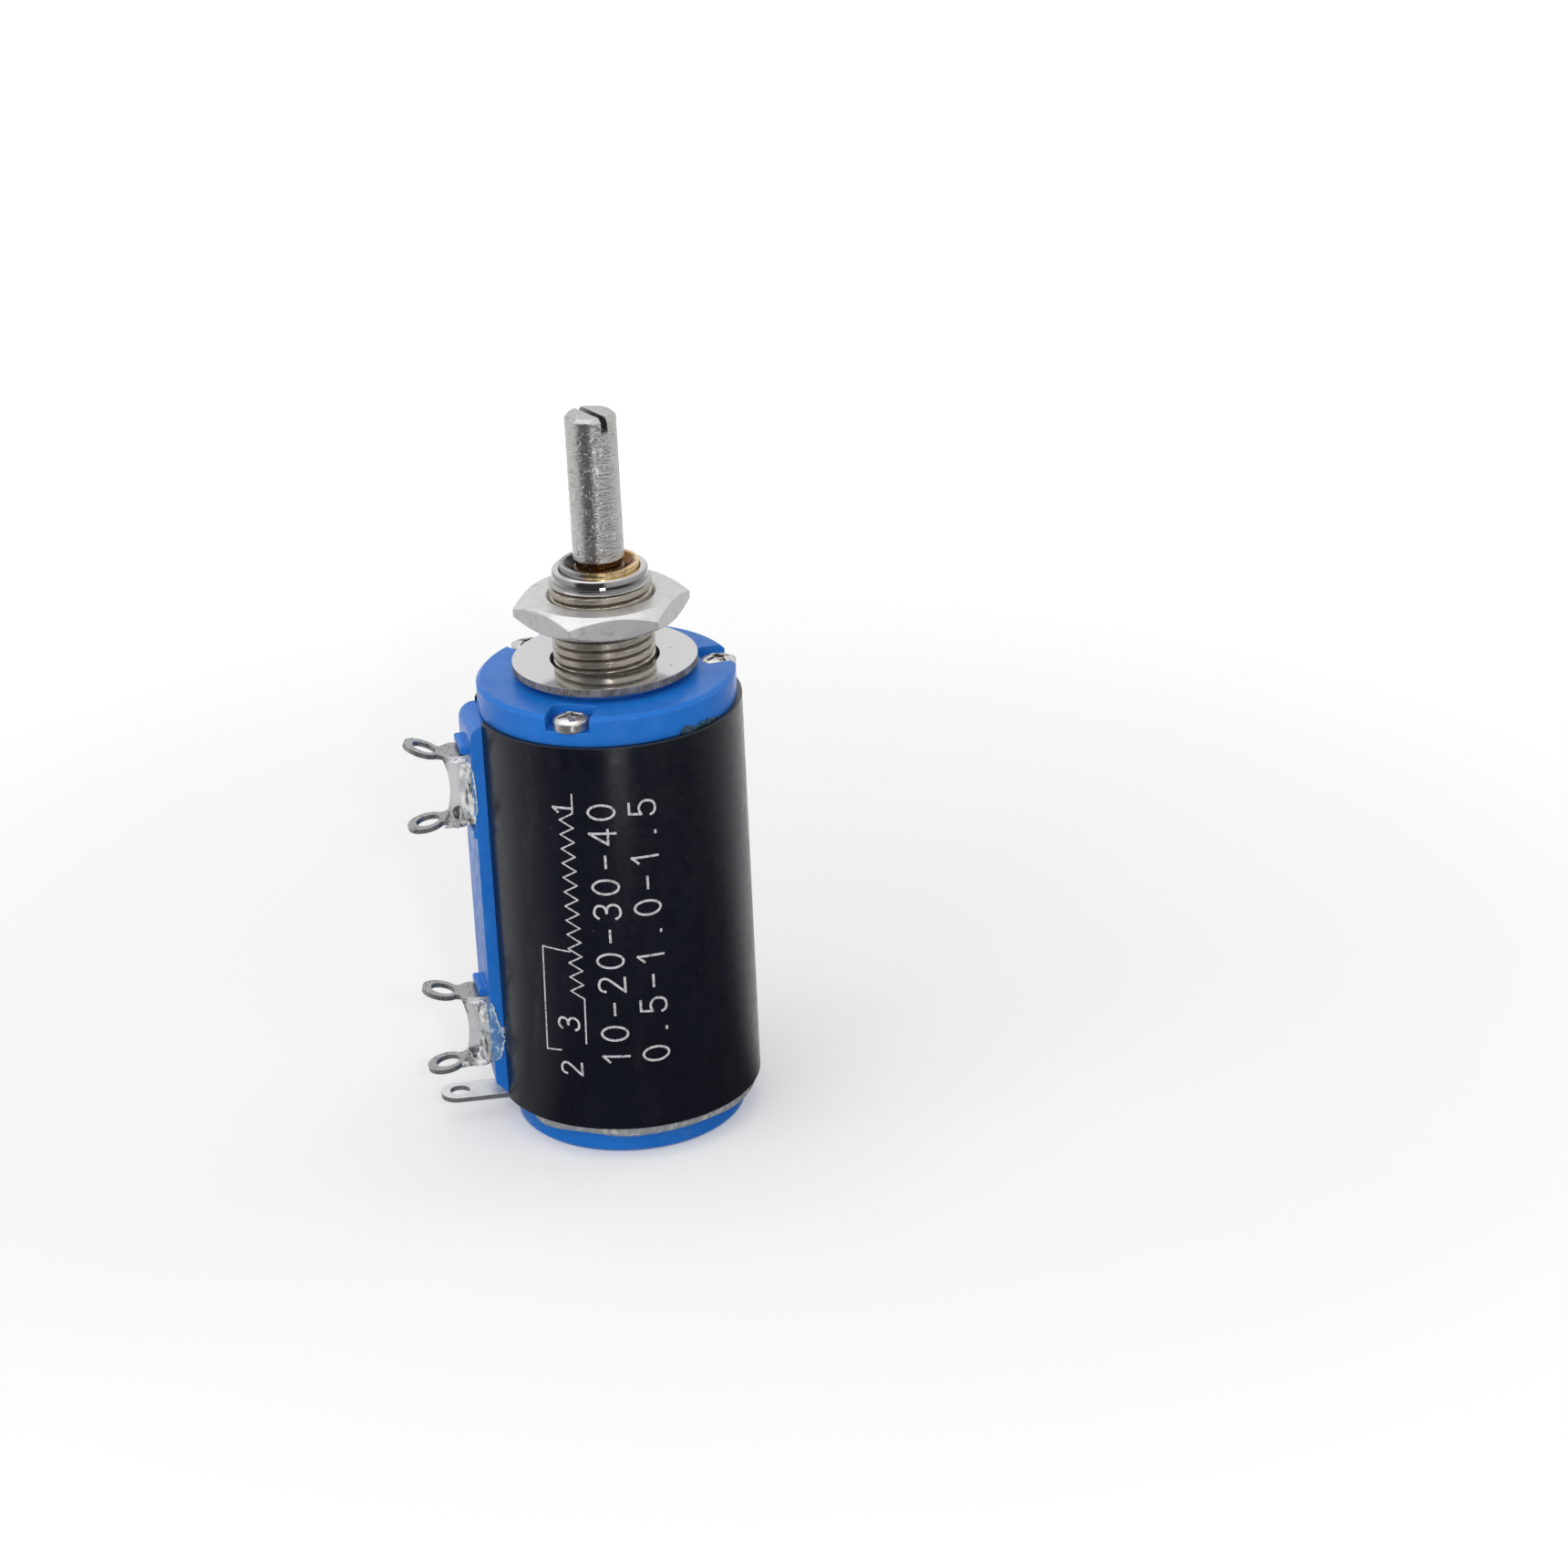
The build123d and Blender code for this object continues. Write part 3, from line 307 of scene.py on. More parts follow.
def put(name: str, grids: list[np.ndarray], finish: "Finish", replaces: str = "", looped: bool = False,
        sharp_over: float = 40.0) -> bpy.types.Object:
    """Makes one finished piece of the housing from grids, at the origin, with its place in its mesh.

    Args:
        name: The piece's name.
        grids: Rows by columns by three, each a closed surface once its ends are closed.
        finish: What it is dressed in.
        replaces: The modelled part whose place it takes, if any.
        looped: The grids' last rows join their first ones, and no poles are needed.
        sharp_over: Edges that turn by more than this, in degrees, are shaded as edges.

    Returns:
        The new object.
    """
    points, faces, count = [], [], 0
    for grid in grids:
        poles = [] if looped else [grid[0].mean(0)[None], grid[-1].mean(0)[None]]
        points += [grid.reshape(-1, 3), *poles]
        faces += grid_faces(*grid.shape[:2], looped, count)
        count += grid.shape[0] * grid.shape[1] + len(poles)
    mesh = new_mesh(name, np.vstack(points), faces)
    mesh.shade_smooth()
    mesh.set_sharp_from_angle(angle=np.radians(sharp_over))
    mesh.validate()
    piece = new_object(name, mesh)
    dress(piece, finish)
    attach(piece, Body.HOUSING.value)
    if replaces:
        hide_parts(replaces)
    log.info("%s: %d faces", name, len(mesh.polygons))
    return piece


# ---------------------------------------------------------------- looks


class Field:
    """Value that changes over a surface: a node's output. Counting with it adds the nodes that do the sum."""

    def __init__(self, look: "Look", socket: Socket) -> None:
        """Keeps the output with the look that it belongs to."""
        self.look, self.socket = look, socket

    def __add__(self, other: "Feed") -> "Field":
        """Sum of two values."""
        return self.look.math("ADD", self, other)

    def __mul__(self, other: "Feed") -> "Field":
        """Product of two values."""
        return self.look.math("MULTIPLY", self, other)

    def __sub__(self, other: "Feed") -> "Field":
        """This value less another."""
        return self.look.math("SUBTRACT", self, other)

    def __rsub__(self, other: "Feed") -> "Field":
        """Another value less this one."""
        return self.look.math("SUBTRACT", other, self)

    __radd__, __rmul__ = __add__, __mul__

    def level(self, low: float, high: float, bottom: float = 0.0, top: float = 1.0) -> "Field":
        """Turns values between low and high into a smooth rise from bottom to top."""
        ends = {"Value": self, "From Min": low, "From Max": high, "To Min": bottom, "To Max": top}
        return self.look.add("MapRange", "Result", ends, interpolation_type="SMOOTHSTEP")

    def mix(self, first: "Feed", second: "Feed") -> "Field":
        """Colour between two colours, where this value is the share of the second."""
        return self.look.add("Mix", 2, {0: self, 6: first, 7: second}, data_type="RGBA")

    def between(self, first: "Field", second: "Field") -> "Field":
        """Number between two numbers, where this value is the share of the second."""
        return first * (1.0 - self) + second * self

    def bump(self, depth: float, under: "Field | None" = None) -> "Field":
        """Normal of the surface raised by this value times depth millimetres, over another normal."""
        ends = {"Distance": depth * MM, "Height": self}
        return self.look.add("Bump", "Normal", ends if under is None else ends | {"Normal": under})

    def blurred(self, size: float, width: float) -> "Field":
        """This value pushed up and down, by half the width at most, by a cloudy pattern."""
        return self + (self.look.noise(size, detail=4.0) - 0.5) * width

    def turned_from(self, middle: float) -> "Field":
        """How far an angle in radians is from a middle in degrees, either way round, in degrees."""
        cosine = self.look.math("COSINE", self - float(np.radians(middle)))
        return self.look.math("DEGREES", self.look.math("ARCCOSINE", cosine))


Feed = Field | float | Colour


class Look:
    """Node tree of a material or a world, with short ways to add the nodes that the finishes share."""

    def __init__(self, owner: bpy.types.Material | bpy.types.World) -> None:
        """Starts from the owner's bare shader.

        Args:
            owner: Whose nodes are laid out.
        """
        owner.use_nodes = True
        self.owner = owner
        self.nodes, self.links = owner.node_tree.nodes, owner.node_tree.links
        self.shader = self.nodes["Background" if isinstance(owner, bpy.types.World) else "Principled BSDF"]

    def feed(self, socket: Socket, value: Feed) -> None:
        """Links a socket to a value, or sets it.

        Args:
            socket: Where the value goes in.
            value: A field, a colour or a number.
        """
        if isinstance(value, Field):
            self.links.new(value.socket, socket)
        elif isinstance(value, tuple):
            socket.default_value = (*value, 1.0)[: len(socket.default_value)]
        else:
            socket.default_value = value

    def shade(self, **values: Feed) -> None:
        """Feeds the shader's sockets, named with underscores for spaces."""
        for name, value in values.items():
            self.feed(self.shader.inputs[name.replace("_", " ")], value)

    def add(self, kind: str, output: str | int, feeds: dict[str | int, Feed] | None = None,
            **settings: str | int) -> Field:
        """Adds a node.

        Args:
            kind: Which node.
            output: The output that is wanted.
            feeds: What goes into its sockets.
            **settings: The node's own options.

        Returns:
            The output.
        """
        node = self.nodes.new("ShaderNode" + kind)
        for name, setting in settings.items():
            setattr(node, name, setting)
        for name, value in (feeds or {}).items():
            self.feed(node.inputs[name], value)
        return Field(self, node.outputs[output])

    def math(self, operation: str, first: Feed, second: Feed = 0.0) -> Field:
        """Adds one sum on one or two numbers."""
        return self.add("Math", 0, {0: first, 1: second}, operation=operation)

    def noise(self, size: float, stretch: Triple = Grain.EVEN.value, detail: float = 3.0, twist: float = 0.0,
              rough: float = 0.55) -> Field:
        """Cloudy pattern from 0 to 1 whose lumps are about size millimetres.

        Args:
            size: Size of a lump.
            stretch: How often it repeats along x, y and z.
            detail: How many finer layers it has.
            twist: How far the pattern is pulled out of shape.
            rough: How strong the finer layers are.

        Returns:
            The pattern.
        """
        steps = tuple(share / (size * MM) for share in stretch)
        place = self.add("VectorMath", 0, {0: self.add("TexCoord", "Object"), 1: steps}, operation="MULTIPLY")
        return self.add("TexNoise", "Fac", {"Vector": place, "Scale": 1.0, "Detail": detail, "Roughness": rough,
                                            "Distortion": twist})

    def dull(self, size: float, detail: float, gloss: Pair, low: float = 0.3) -> Field:
        """Roughness that drifts between two ends, from a cloudy pattern's low parts to its high ones."""
        return self.noise(size, detail=detail).level(low, 0.7, *gloss)

    def soft_edges(self, radius: float) -> Field:
        """Normal that rounds sharp edges in the light."""
        return self.add("Bevel", "Normal", {"Radius": radius * MM}, samples=6)

    def sharp_edges(self, radius: float) -> Field:
        """1 on sharp edges and 0 away from them, from the lean of the rounded normal off the face's own."""
        normals = {0: self.soft_edges(radius), 1: self.add("NewGeometry", "Normal")}
        return self.add("VectorMath", "Value", normals, operation="DOT_PRODUCT").level(0.72, 0.96, 1.0, 0.0)

    def parts(self, kind: str) -> list[Field]:
        """The x, y and z of the object's own coordinates or normal."""
        first = self.add("SeparateXYZ", 0, {0: self.add("TexCoord", kind)})
        return [Field(self, socket) for socket in first.socket.node.outputs]

    def axes(self) -> tuple[Field, Field, Field]:
        """Distance from the Z axis in millimetres, angle about it in radians, and height in millimetres."""
        x, y, z = self.parts("Object")
        return self.math("SQRT", x * x + y * y) * (1.0 / MM), self.math("ARCTAN2", y, x), z * (1.0 / MM)

    def slab(self, side: float, half_width: float) -> Field:
        """1 inside an upright slab through the axis: x cos a plus y sin a is under the half width either way.

        Args:
            side: Angle square to the slab's walls, in degrees.
            half_width: From its middle to its walls, in millimetres.

        Returns:
            The share of the slab.
        """
        x, y, _ = self.parts("Object")
        a = np.radians(side)
        off = self.math("ABSOLUTE", x * float(np.cos(a) / MM) + y * float(np.sin(a) / MM))
        return off.level(half_width - 0.01, half_width + 0.01, 1.0, 0.0)

    def upright(self) -> Field:
        """1 on faces that stand upright, 0 on faces that look up or down."""
        return self.math("ABSOLUTE", self.parts("Normal")[2]).level(0.3, 0.6, 1.0, 0.0)


@dataclass(frozen=True)
class Finish:
    """What every finish has: a name, and a way to paint its own look."""

    name: str

    def paint(self, look: Look) -> None:
        """Feeds the look's shader."""
        raise NotImplementedError


made_finishes: dict[str, bpy.types.Material] = {}


def dress(piece: bpy.types.Object, finish: Finish) -> None:
    """Gives a piece one finish over its whole surface, and makes each finish only once.

    Args:
        piece: What is dressed.
        finish: What it wears.
    """
    if finish.name not in made_finishes:
        look = Look(bpy.data.materials.new(finish.name))
        finish.paint(look)
        made_finishes[finish.name] = look.owner
    piece.data.materials.clear()
    piece.data.materials.append(made_finishes[finish.name])


# ---------------------------------------------------------------- finishes


@dataclass(frozen=True)
class PlatedMetal(Finish):
    """Plated or plain metal with stains, fine marks, pits, and painted shade and highlight in a recess.

    Attributes:
        colour: Clean metal.
        stain: Metal where it has tarnished.
        stain_size: Size of a tarnished patch.
        stain_share: How strong the tarnish gets.
        gloss: Roughness of the smoothest and the dullest places.
        mark_size: Distance between marks.
        mark_depth: Height of the marks.
        pit_size: Distance between pits.
        pit_depth: Depth of the pits, 0 for none.
        edge: How far edges are rounded.
        metallic: Share of metal, less where the plating is frosted.
        flat_metallic: The same for faces that look up or down, where it differs.
        hollow: Name of the mesh attribute that says how deep in a recess a point is, or nothing.
        painted_shade_wall: Painted shade on the recess's walls.
        painted_highlight_floor: Painted highlight on the recess's floor.
    """

    colour: Colour
    stain: Colour
    stain_size: float = 1.5
    stain_share: float = 0.6
    gloss: Pair = (0.14, 0.3)
    mark_size: float = 0.35
    mark_depth: float = 0.01
    pit_size: float = 0.6
    pit_depth: float = 0.0
    edge: float = 0.08
    metallic: float = 1.0
    flat_metallic: float | None = None
    hollow: str = ""
    painted_shade_wall: Colour = (0.07, 0.065, 0.06)
    painted_highlight_floor: Colour = (0.86, 0.85, 0.84)

    def paint(self, look: Look) -> None:
        """Tarnish by a cloudy pattern, marks and pits by bumps over rounded edges.

        Args:
            look: The finish's look.
        """
        tarnish = look.noise(self.stain_size, detail=5.0, twist=0.6).level(0.42, 0.72, 0.0, self.stain_share)
        colour = tarnish.mix(self.colour, self.stain)
        normal = look.noise(self.mark_size, detail=4.0).bump(self.mark_depth, look.soft_edges(self.edge))
        if self.pit_depth:
            pits = look.noise(self.pit_size, detail=2.0, twist=1.0).level(0.6, 0.72)
            normal = (1.0 - pits).bump(self.pit_depth, normal)
            colour = (pits * 0.55).mix(colour, self.stain)
        if self.hollow:
            deep = look.add("Attribute", "Fac", attribute_name=self.hollow)
            # Painted shade on the recess's walls and a painted highlight on its floor, by depth.
            colour = (deep.level(0.05, 0.4) * 0.85).mix(colour, self.painted_shade_wall)
            colour = (deep.level(0.68, 0.84) * 0.9).mix(colour, self.painted_highlight_floor)
        metallic = self.metallic
        if self.flat_metallic is not None:
            metallic = look.upright() * (self.metallic - self.flat_metallic) + self.flat_metallic
        look.shade(Base_Color=colour, Metallic=metallic, Normal=normal,
                   Roughness=look.dull(self.stain_size * 0.7, 5.0, self.gloss, 0.35))


@dataclass(frozen=True)
class TurnedNickel(Finish):
    """Nickel over turned brass: a mirror-like nose, a duller thread, and warm painted shade in the grooves.

    Attributes:
        polished: Metal of the nose's wall.
        top: Metal of the nose's end face, painted lighter than the wall as a highlight.
        colour: Metal of the thread's crests.
        worn: The crests where they have worn.
        groove: Painted shade, dark and warm, at the bottom of the grooves.
        nose_from: Height where the nose starts.
        nose_end: Height of its end face.
        groove_shade_radius: Radius below which shade is painted in the grooves; above it the crests keep their own
            metal.
    """

    polished: Colour = (0.385, 0.38, 0.38)
    top: Colour = (0.54, 0.535, 0.53)
    colour: Colour = (0.47, 0.435, 0.38)
    worn: Colour = (0.34, 0.30, 0.24)
    groove: Colour = (0.22, 0.18, 0.135)
    nose_from: float = 45.1
    nose_end: float = 46.26
    groove_shade_radius: Pair = (3.70, 3.90)

    def paint(self, look: Look) -> None:
        """The nose is told by height and the grooves by radius, blurred by a cloudy pattern.

        Args:
            look: The finish's look.
        """
        radius, _, height = look.axes()
        nose = height.level(self.nose_from, self.nose_from + 0.12)
        patches = look.noise(1.3, Grain.AROUND.value, detail=5.0, twist=0.6).level(0.45, 0.75, 0.0, 0.5)
        # Painted shade: the grooves go dark and warm below the groove shade radius.
        thread = radius.blurred(0.7, 0.2).level(*self.groove_shade_radius).mix(
            self.groove, patches.mix(self.colour, self.worn))
        # Painted highlight: the nose's end face gets a lighter colour than its wall.
        end_face = height.level(self.nose_end, self.nose_end + 0.06)
        smooth = look.noise(2.0, detail=1.0).bump(0.004, look.soft_edges(0.06))
        marks = look.noise(0.3, Grain.AROUND.value, detail=4.0) * (1.0 - nose)
        look.shade(
            Base_Color=nose.mix(thread, end_face.mix(self.polished, self.top)),
            Metallic=0.84 + nose * 0.16,
            Roughness=0.06 + look.dull(0.9, 4.0, (0.2, 0.34), 0.35) * (0.8 - nose),
            Normal=marks.bump(0.022, smooth),
        )


@dataclass(frozen=True)
class EdgedWasher(Finish):
    """Bright washer: a mirror-like face with a few dark specks, and an edge with fine upright teeth marks."""

    colour: Colour = (0.60, 0.60, 0.61)
    speck: Colour = (0.1, 0.09, 0.1)
    rim: Colour = (0.17, 0.15, 0.135)
    teeth: float = 150.0

    def paint(self, look: Look) -> None:
        """The teeth are the sine of the angle times their number, on the upright faces only.

        Args:
            look: The finish's look.
        """
        upright = look.upright()
        teeth = look.math("SINE", look.axes()[1] * self.teeth + look.noise(1.5, detail=2.0)) * upright
        faces = look.noise(0.5).level(0.69, 0.76).mix(self.colour, self.speck)
        darkening = upright * look.noise(0.9, detail=4.0).level(0.3, 0.65, 0.55, 1.0)
        look.shade(
            Base_Color=darkening.mix(faces, self.rim),
            Metallic=0.92 - upright * 0.36,
            Roughness=look.noise(1.2, detail=4.0).level(0.4, 0.75, 0.08, 0.15) + upright * 0.4,
            Normal=teeth.bump(0.03, look.noise(3.0, detail=1.0).bump(0.004, look.soft_edges(0.1))),
        )


@dataclass(frozen=True)
class MouthedBrass(Finish):
    """Brass ring that goes brown towards its mouth with tarnish and painted shade, with plating left on one side.

    Attributes:
        colour: Clean brass.
        tint: Brass that has darkened.
        brown: Tarnish and painted shade in the mouth.
        plating: Plating where it is left.
        shaded: Painted shade on the plating in the mouth.
        mouth: Radius where the brown starts.
        plated_side: Middle and half width of the plated side, in degrees about the shaft.
    """

    colour: Colour = (0.80, 0.60, 0.33)
    tint: Colour = (0.50, 0.31, 0.12)
    brown: Colour = (0.17, 0.075, 0.02)
    plating: Colour = (0.36, 0.36, 0.37)
    shaded: Colour = (0.02, 0.02, 0.022)
    mouth: float = 2.84
    plated_side: Pair = (-176.0, 60.0)

    def paint(self, look: Look) -> None:
        """The brown tarnish and painted shade grow towards the axis from the mouth's radius, broken up by a cloudy
        pattern.

        Args:
            look: The finish's look.
        """
        radius, around, _ = look.axes()
        deep = radius.blurred(0.6, 0.4).level(self.mouth - 0.22, self.mouth + 0.16, 1.0, 0.0)
        brass = look.noise(0.5, detail=4.0).level(0.45, 0.7).mix(self.colour, self.tint)
        middle, half = self.plated_side
        plated = around.turned_from(middle).level(half - 9.0, half + 5.0, 1.0, 0.0)
        # Painted shade in the mouth: brown tarnish and shade on the brass, near black on the plating.
        look.shade(
            Base_Color=plated.mix(deep.mix(brass, self.brown), deep.mix(self.plating, self.shaded)),
            Metallic=1.0,
            Roughness=look.dull(0.4, 3.0, (0.2, 0.34)),
            Normal=look.noise(0.25).bump(0.01, look.soft_edges(0.07)),
        )


@dataclass(frozen=True)
class SatinShaft(Finish):
    """Plated shaft: satin, rippled round and round, with painted shade in the slot and a brown relief above the sleeve.

    Attributes:
        colour: Clean plating.
        stain: Plating where it has tarnished.
        painted_glint: Painted glints, as bright flecks.
        end_face_shade: Painted shade on the end face.
        relief: The relief above the sleeve.
        slot: Painted shade on the slot's walls and floor.
        slot_side: Angle square to the screwdriver slot, in degrees.
        slot_half_width: From the slot's middle to just outside its wall.
        slot_floor: Height of the slot's floor.
        relief_top: Height below which the shaft is brown.
    """

    colour: Colour = (0.62, 0.615, 0.605)
    stain: Colour = (0.24, 0.23, 0.22)
    painted_glint: Colour = (0.88, 0.88, 0.88)
    end_face_shade: Colour = (0.36, 0.355, 0.35)
    relief: Colour = (0.13, 0.065, 0.025)
    slot: Colour = (0.20, 0.19, 0.18)
    slot_side: float = 26.0
    slot_half_width: float = 0.29
    slot_floor: float = 57.65
    relief_top: float = 47.13

    def paint(self, look: Look) -> None:
        """Ripples run round the shaft and break up its reflections, and glints are painted as bright flecks.

        Args:
            look: The finish's look.
        """
        height = look.axes()[2]
        patches = look.noise(0.7, detail=5.0, twist=0.6).level(0.48, 0.75, 0.0, 0.4)
        # Painted shade: faces that look up or down, the end face, go darker.
        plating = ((1.0 - look.upright()) * 0.75).mix(patches.mix(self.colour, self.stain), self.end_face_shade)
        plating = height.level(self.relief_top - 0.04, self.relief_top, 1.0, 0.0).mix(plating, self.relief)
        ripples = look.noise(0.34, Grain.AROUND.value, twist=0.5)
        # Painted highlight: sparse bright flecks stand in for glints.
        painted_glints = look.noise(0.3, (1.0, 1.0, 0.55), twist=0.8).level(0.62, 0.68)
        plating = ripples.level(0.32, 0.4, 0.5, 0.0).mix(plating, self.stain)
        plating = (painted_glints * 0.8).mix(plating, self.painted_glint)
        # Painted shade in the screwdriver slot, on its walls and floor.
        slot = look.slab(self.slot_side, self.slot_half_width) * height.level(
            self.slot_floor - 0.2, self.slot_floor - 0.1)
        pits = look.noise(0.7, detail=2.0, twist=1.0).level(0.62, 0.72)
        look.shade(
            Base_Color=(slot * 0.9).mix(plating, self.slot),
            Metallic=0.94 - painted_glints * 0.5,
            Roughness=look.dull(0.6, 5.0, (0.13, 0.24), 0.35),
            Normal=(1.0 - pits).bump(0.04, ripples.bump(0.06, look.soft_edges(0.1))),
        )


@dataclass(frozen=True)
class TinnedSheet(Finish):
    """Tinned sheet: pale and frosted near the case, greyer and scratched on the eyelets further out.

    Attributes:
        colour: Frosted tin.
        cloud: Frosted tin in its duller patches.
        bare: Greyer metal of the eyelets.
        stain: Scratches and specks.
        edge: Painted highlight on the cut edges.
        out_from: Distances from the shaft's axis between which it goes from the one to the other.
        bare_flats: The faces that look up or down are grey all the way in. Otherwise the upright ones are.
    """

    colour: Colour = (0.78, 0.785, 0.80)
    cloud: Colour = (0.60, 0.605, 0.62)
    bare: Colour = (0.33, 0.33, 0.335)
    stain: Colour = (0.13, 0.125, 0.12)
    edge: Colour = (0.86, 0.86, 0.87)
    out_from: Pair = (12.9, 13.5)
    bare_flats: bool = True

    def paint(self, look: Look) -> None:
        """Scratches are a stretched cloudy pattern, and cut edges get a painted highlight.

        Args:
            look: The finish's look.
        """
        upright = look.upright()
        bare = 1.0 - upright if self.bare_flats else upright
        out = look.math("MAXIMUM", look.axes()[0].blurred(0.8, 1.2).level(*self.out_from), bare)
        cloud = look.noise(0.9, detail=5.0, twist=0.6).level(0.4, 0.75, 0.0, 0.5)
        scratches = look.noise(0.35, (1.6, 0.5, 1.0), detail=5.0, twist=0.8).level(0.52, 0.66, 0.0, 0.85)
        sheet = out.mix(cloud.mix(self.colour, self.cloud), scratches.mix(self.bare, self.stain))
        # Painted highlight on the cut edges: they lighten towards the edge colour.
        look.shade(
            Base_Color=(look.sharp_edges(0.07) * 0.55).mix(sheet, self.edge),
            Metallic=0.35 + out * 0.5,
            Roughness=look.dull(0.6, 4.0, (0.2, 0.36), 0.35) + upright * 0.18,
            Normal=look.noise(0.4, detail=4.0).bump(0.03, look.soft_edges(0.09)),
        )


@dataclass(frozen=True)
class MouldedPlastic(Finish):
    """Moulded plastic with a faint grain, darker drifts, scuffs, small pale nicks, and may have painted highlight and
    shade.

    Attributes:
        colour: Clean plastic.
        shade: The darker drift.
        scuff_and_highlight: Colour of scuffs and nicks, and of the painted highlight on the edges.
        scuff_share: How strong the scuffs get.
        gloss: Roughness of the smoothest and the dullest places.
        specular: Strength of the reflection.
        grain_depth: Height of the grain.
        scuff_run: How the scuffs are stretched.
        nick_level: How rare the nicks are, from 0.6, many, to 0.8, none.
        edge: How far edges are rounded.
        edge_highlight: How pale the painted highlight on the sharp edges gets.
        worn_side: The side that is scuffed most, in degrees about the shaft, and how many times more.
        worn_fall: Degrees from that side's middle where the extra scuffing starts to fall off, and where it ends.
        painted_shade_radius: Radius about the shaft inside which shade is painted on the plastic, 0 for nowhere.
        darkening: Colour of the painted shade.
    """

    colour: Colour
    shade: Colour
    scuff_and_highlight: Colour
    scuff_share: float = 0.3
    gloss: Pair = (0.32, 0.5)
    specular: float = 0.5
    grain_depth: float = 0.004
    scuff_run: Grain = Grain.EVEN
    nick_level: float = 0.72
    edge: float = 0.15
    edge_highlight: float = 0.0
    worn_side: Pair = (180.0, 1.0)
    worn_fall: Pair = (14.324, 51.566)
    painted_shade_radius: float = 0.0
    darkening: Colour = (0.012, 0.013, 0.016)

    def paint(self, look: Look) -> None:
        """Drift and scuffs are cloudy patterns, and the nicks are the peaks of a finer one.

        Args:
            look: The finish's look.
        """
        radius, around, _ = look.axes()
        body = look.noise(6.0).level(0.35, 0.65).mix(self.colour, self.shade)
        scuffs = look.noise(1.6, self.scuff_run.value, detail=6.0, rough=0.65).level(0.5, 0.8, 0.0, self.scuff_share)
        nicks = look.noise(0.45, detail=2.0, twist=0.8).level(self.nick_level, self.nick_level + 0.05)
        side, times = self.worn_side
        more = around.turned_from(side).level(*self.worn_fall, times, 1.0)
        worn = (scuffs * more).mix(body, self.scuff_and_highlight)
        # Painted highlight: sharp edges lighten towards the scuff colour.
        if self.edge_highlight:
            edge_highlight_share = look.noise(0.9, detail=4.0).level(0.3, 0.62, 0.15, self.edge_highlight)
            worn = (look.sharp_edges(0.13) * edge_highlight_share).mix(worn, self.scuff_and_highlight)
        # Painted shade: dark inside the radius about the shaft, in the gap round the bushing.
        if self.painted_shade_radius:
            worn = radius.level(self.painted_shade_radius - 0.15, self.painted_shade_radius, 1.0, 0.0).mix(worn, self.darkening)
        normal = look.noise(0.22).bump(self.grain_depth, look.soft_edges(self.edge))
        look.shade(
            Base_Color=(nicks * 0.7).mix(worn, self.scuff_and_highlight),
            Roughness=look.dull(1.1, 5.0, self.gloss),
            Specular_IOR_Level=self.specular,
            Normal=(1.0 - nicks).bump(0.02, look.noise(2.8, detail=2.0).bump(0.02, normal)),
        )


@dataclass(frozen=True)
class LumpySolder(Finish):
    """Solder and flux: whitish metal, wrinkled up and down the joint, with painted shade in the hollows between the
    wrinkles.
    """

    light: Colour = (0.84, 0.85, 0.86)
    middle: Colour = (0.50, 0.51, 0.52)
    dark: Colour = (0.10, 0.105, 0.11)

    def paint(self, look: Look) -> None:
        """Wrinkles are a twisted cloudy pattern, drawn out along the height, and shade is painted in its hollows.

        Args:
            look: The finish's look.
        """
        wrinkles = look.noise(0.6, (1.3, 1.3, 0.42), detail=4.0, twist=1.2, rough=0.5)
        frost = look.noise(0.7, (1.0, 1.0, 0.5)).level(0.42, 0.56)
        # Painted shade: the hollows of the wrinkles, low in the same pattern as the bump, go dark.
        look.shade(
            Base_Color=wrinkles.level(0.33, 0.43, 1.0, 0.0).mix(frost.mix(self.middle, self.light), self.dark),
            Metallic=look.noise(0.9, detail=2.0).level(0.45, 0.6, 0.1, 0.6),
            Roughness=look.dull(0.3, 2.0, (0.2, 0.45)),
            Normal=wrinkles.bump(0.14),
        )


@dataclass(frozen=True)
class ClearGlue(Finish):
    """Clear or tinted glue that lets its ground show through, with a wavy wet skin."""

    colour: Colour
    through: float
    wave_depth: float
    wave_size: float = 0.6
    milk: Colour = (0.92, 0.95, 0.97)

    def paint(self, look: Look) -> None:
        """Milky patches by a cloudy pattern, over a shader that passes most light.

        Args:
            look: The finish's look.
        """
        milky = look.noise(0.7, detail=4.0, twist=0.8).level(0.45, 0.7)
        look.shade(
            Base_Color=milky.mix(self.colour, self.milk),
            Transmission_Weight=milky.level(0.0, 1.0, self.through, 0.3 * self.through),
            Roughness=look.dull(0.5, 3.0, (0.08, 0.3)),
            IOR=1.46,
            Normal=look.noise(self.wave_size, twist=0.5).bump(self.wave_depth),
        )


@dataclass(frozen=True)
class PrintInk(Finish):
    """Thin pale ink, a little patchy where it took badly."""

    colour: Colour = (0.60, 0.61, 0.62)
    thin: Colour = (0.24, 0.245, 0.255)

    def paint(self, look: Look) -> None:
        """The ink thins by a fine cloudy pattern.

        Args:
            look: The finish's look.
        """
        cover = look.noise(0.22, detail=4.0).level(0.3, 0.55)
        look.shade(
            Base_Color=cover.mix(self.thin, self.colour),
            Roughness=look.dull(0.3, 2.0, (0.5, 0.7)),
            Specular_IOR_Level=0.3,
            Normal=cover.bump(0.003),
        )


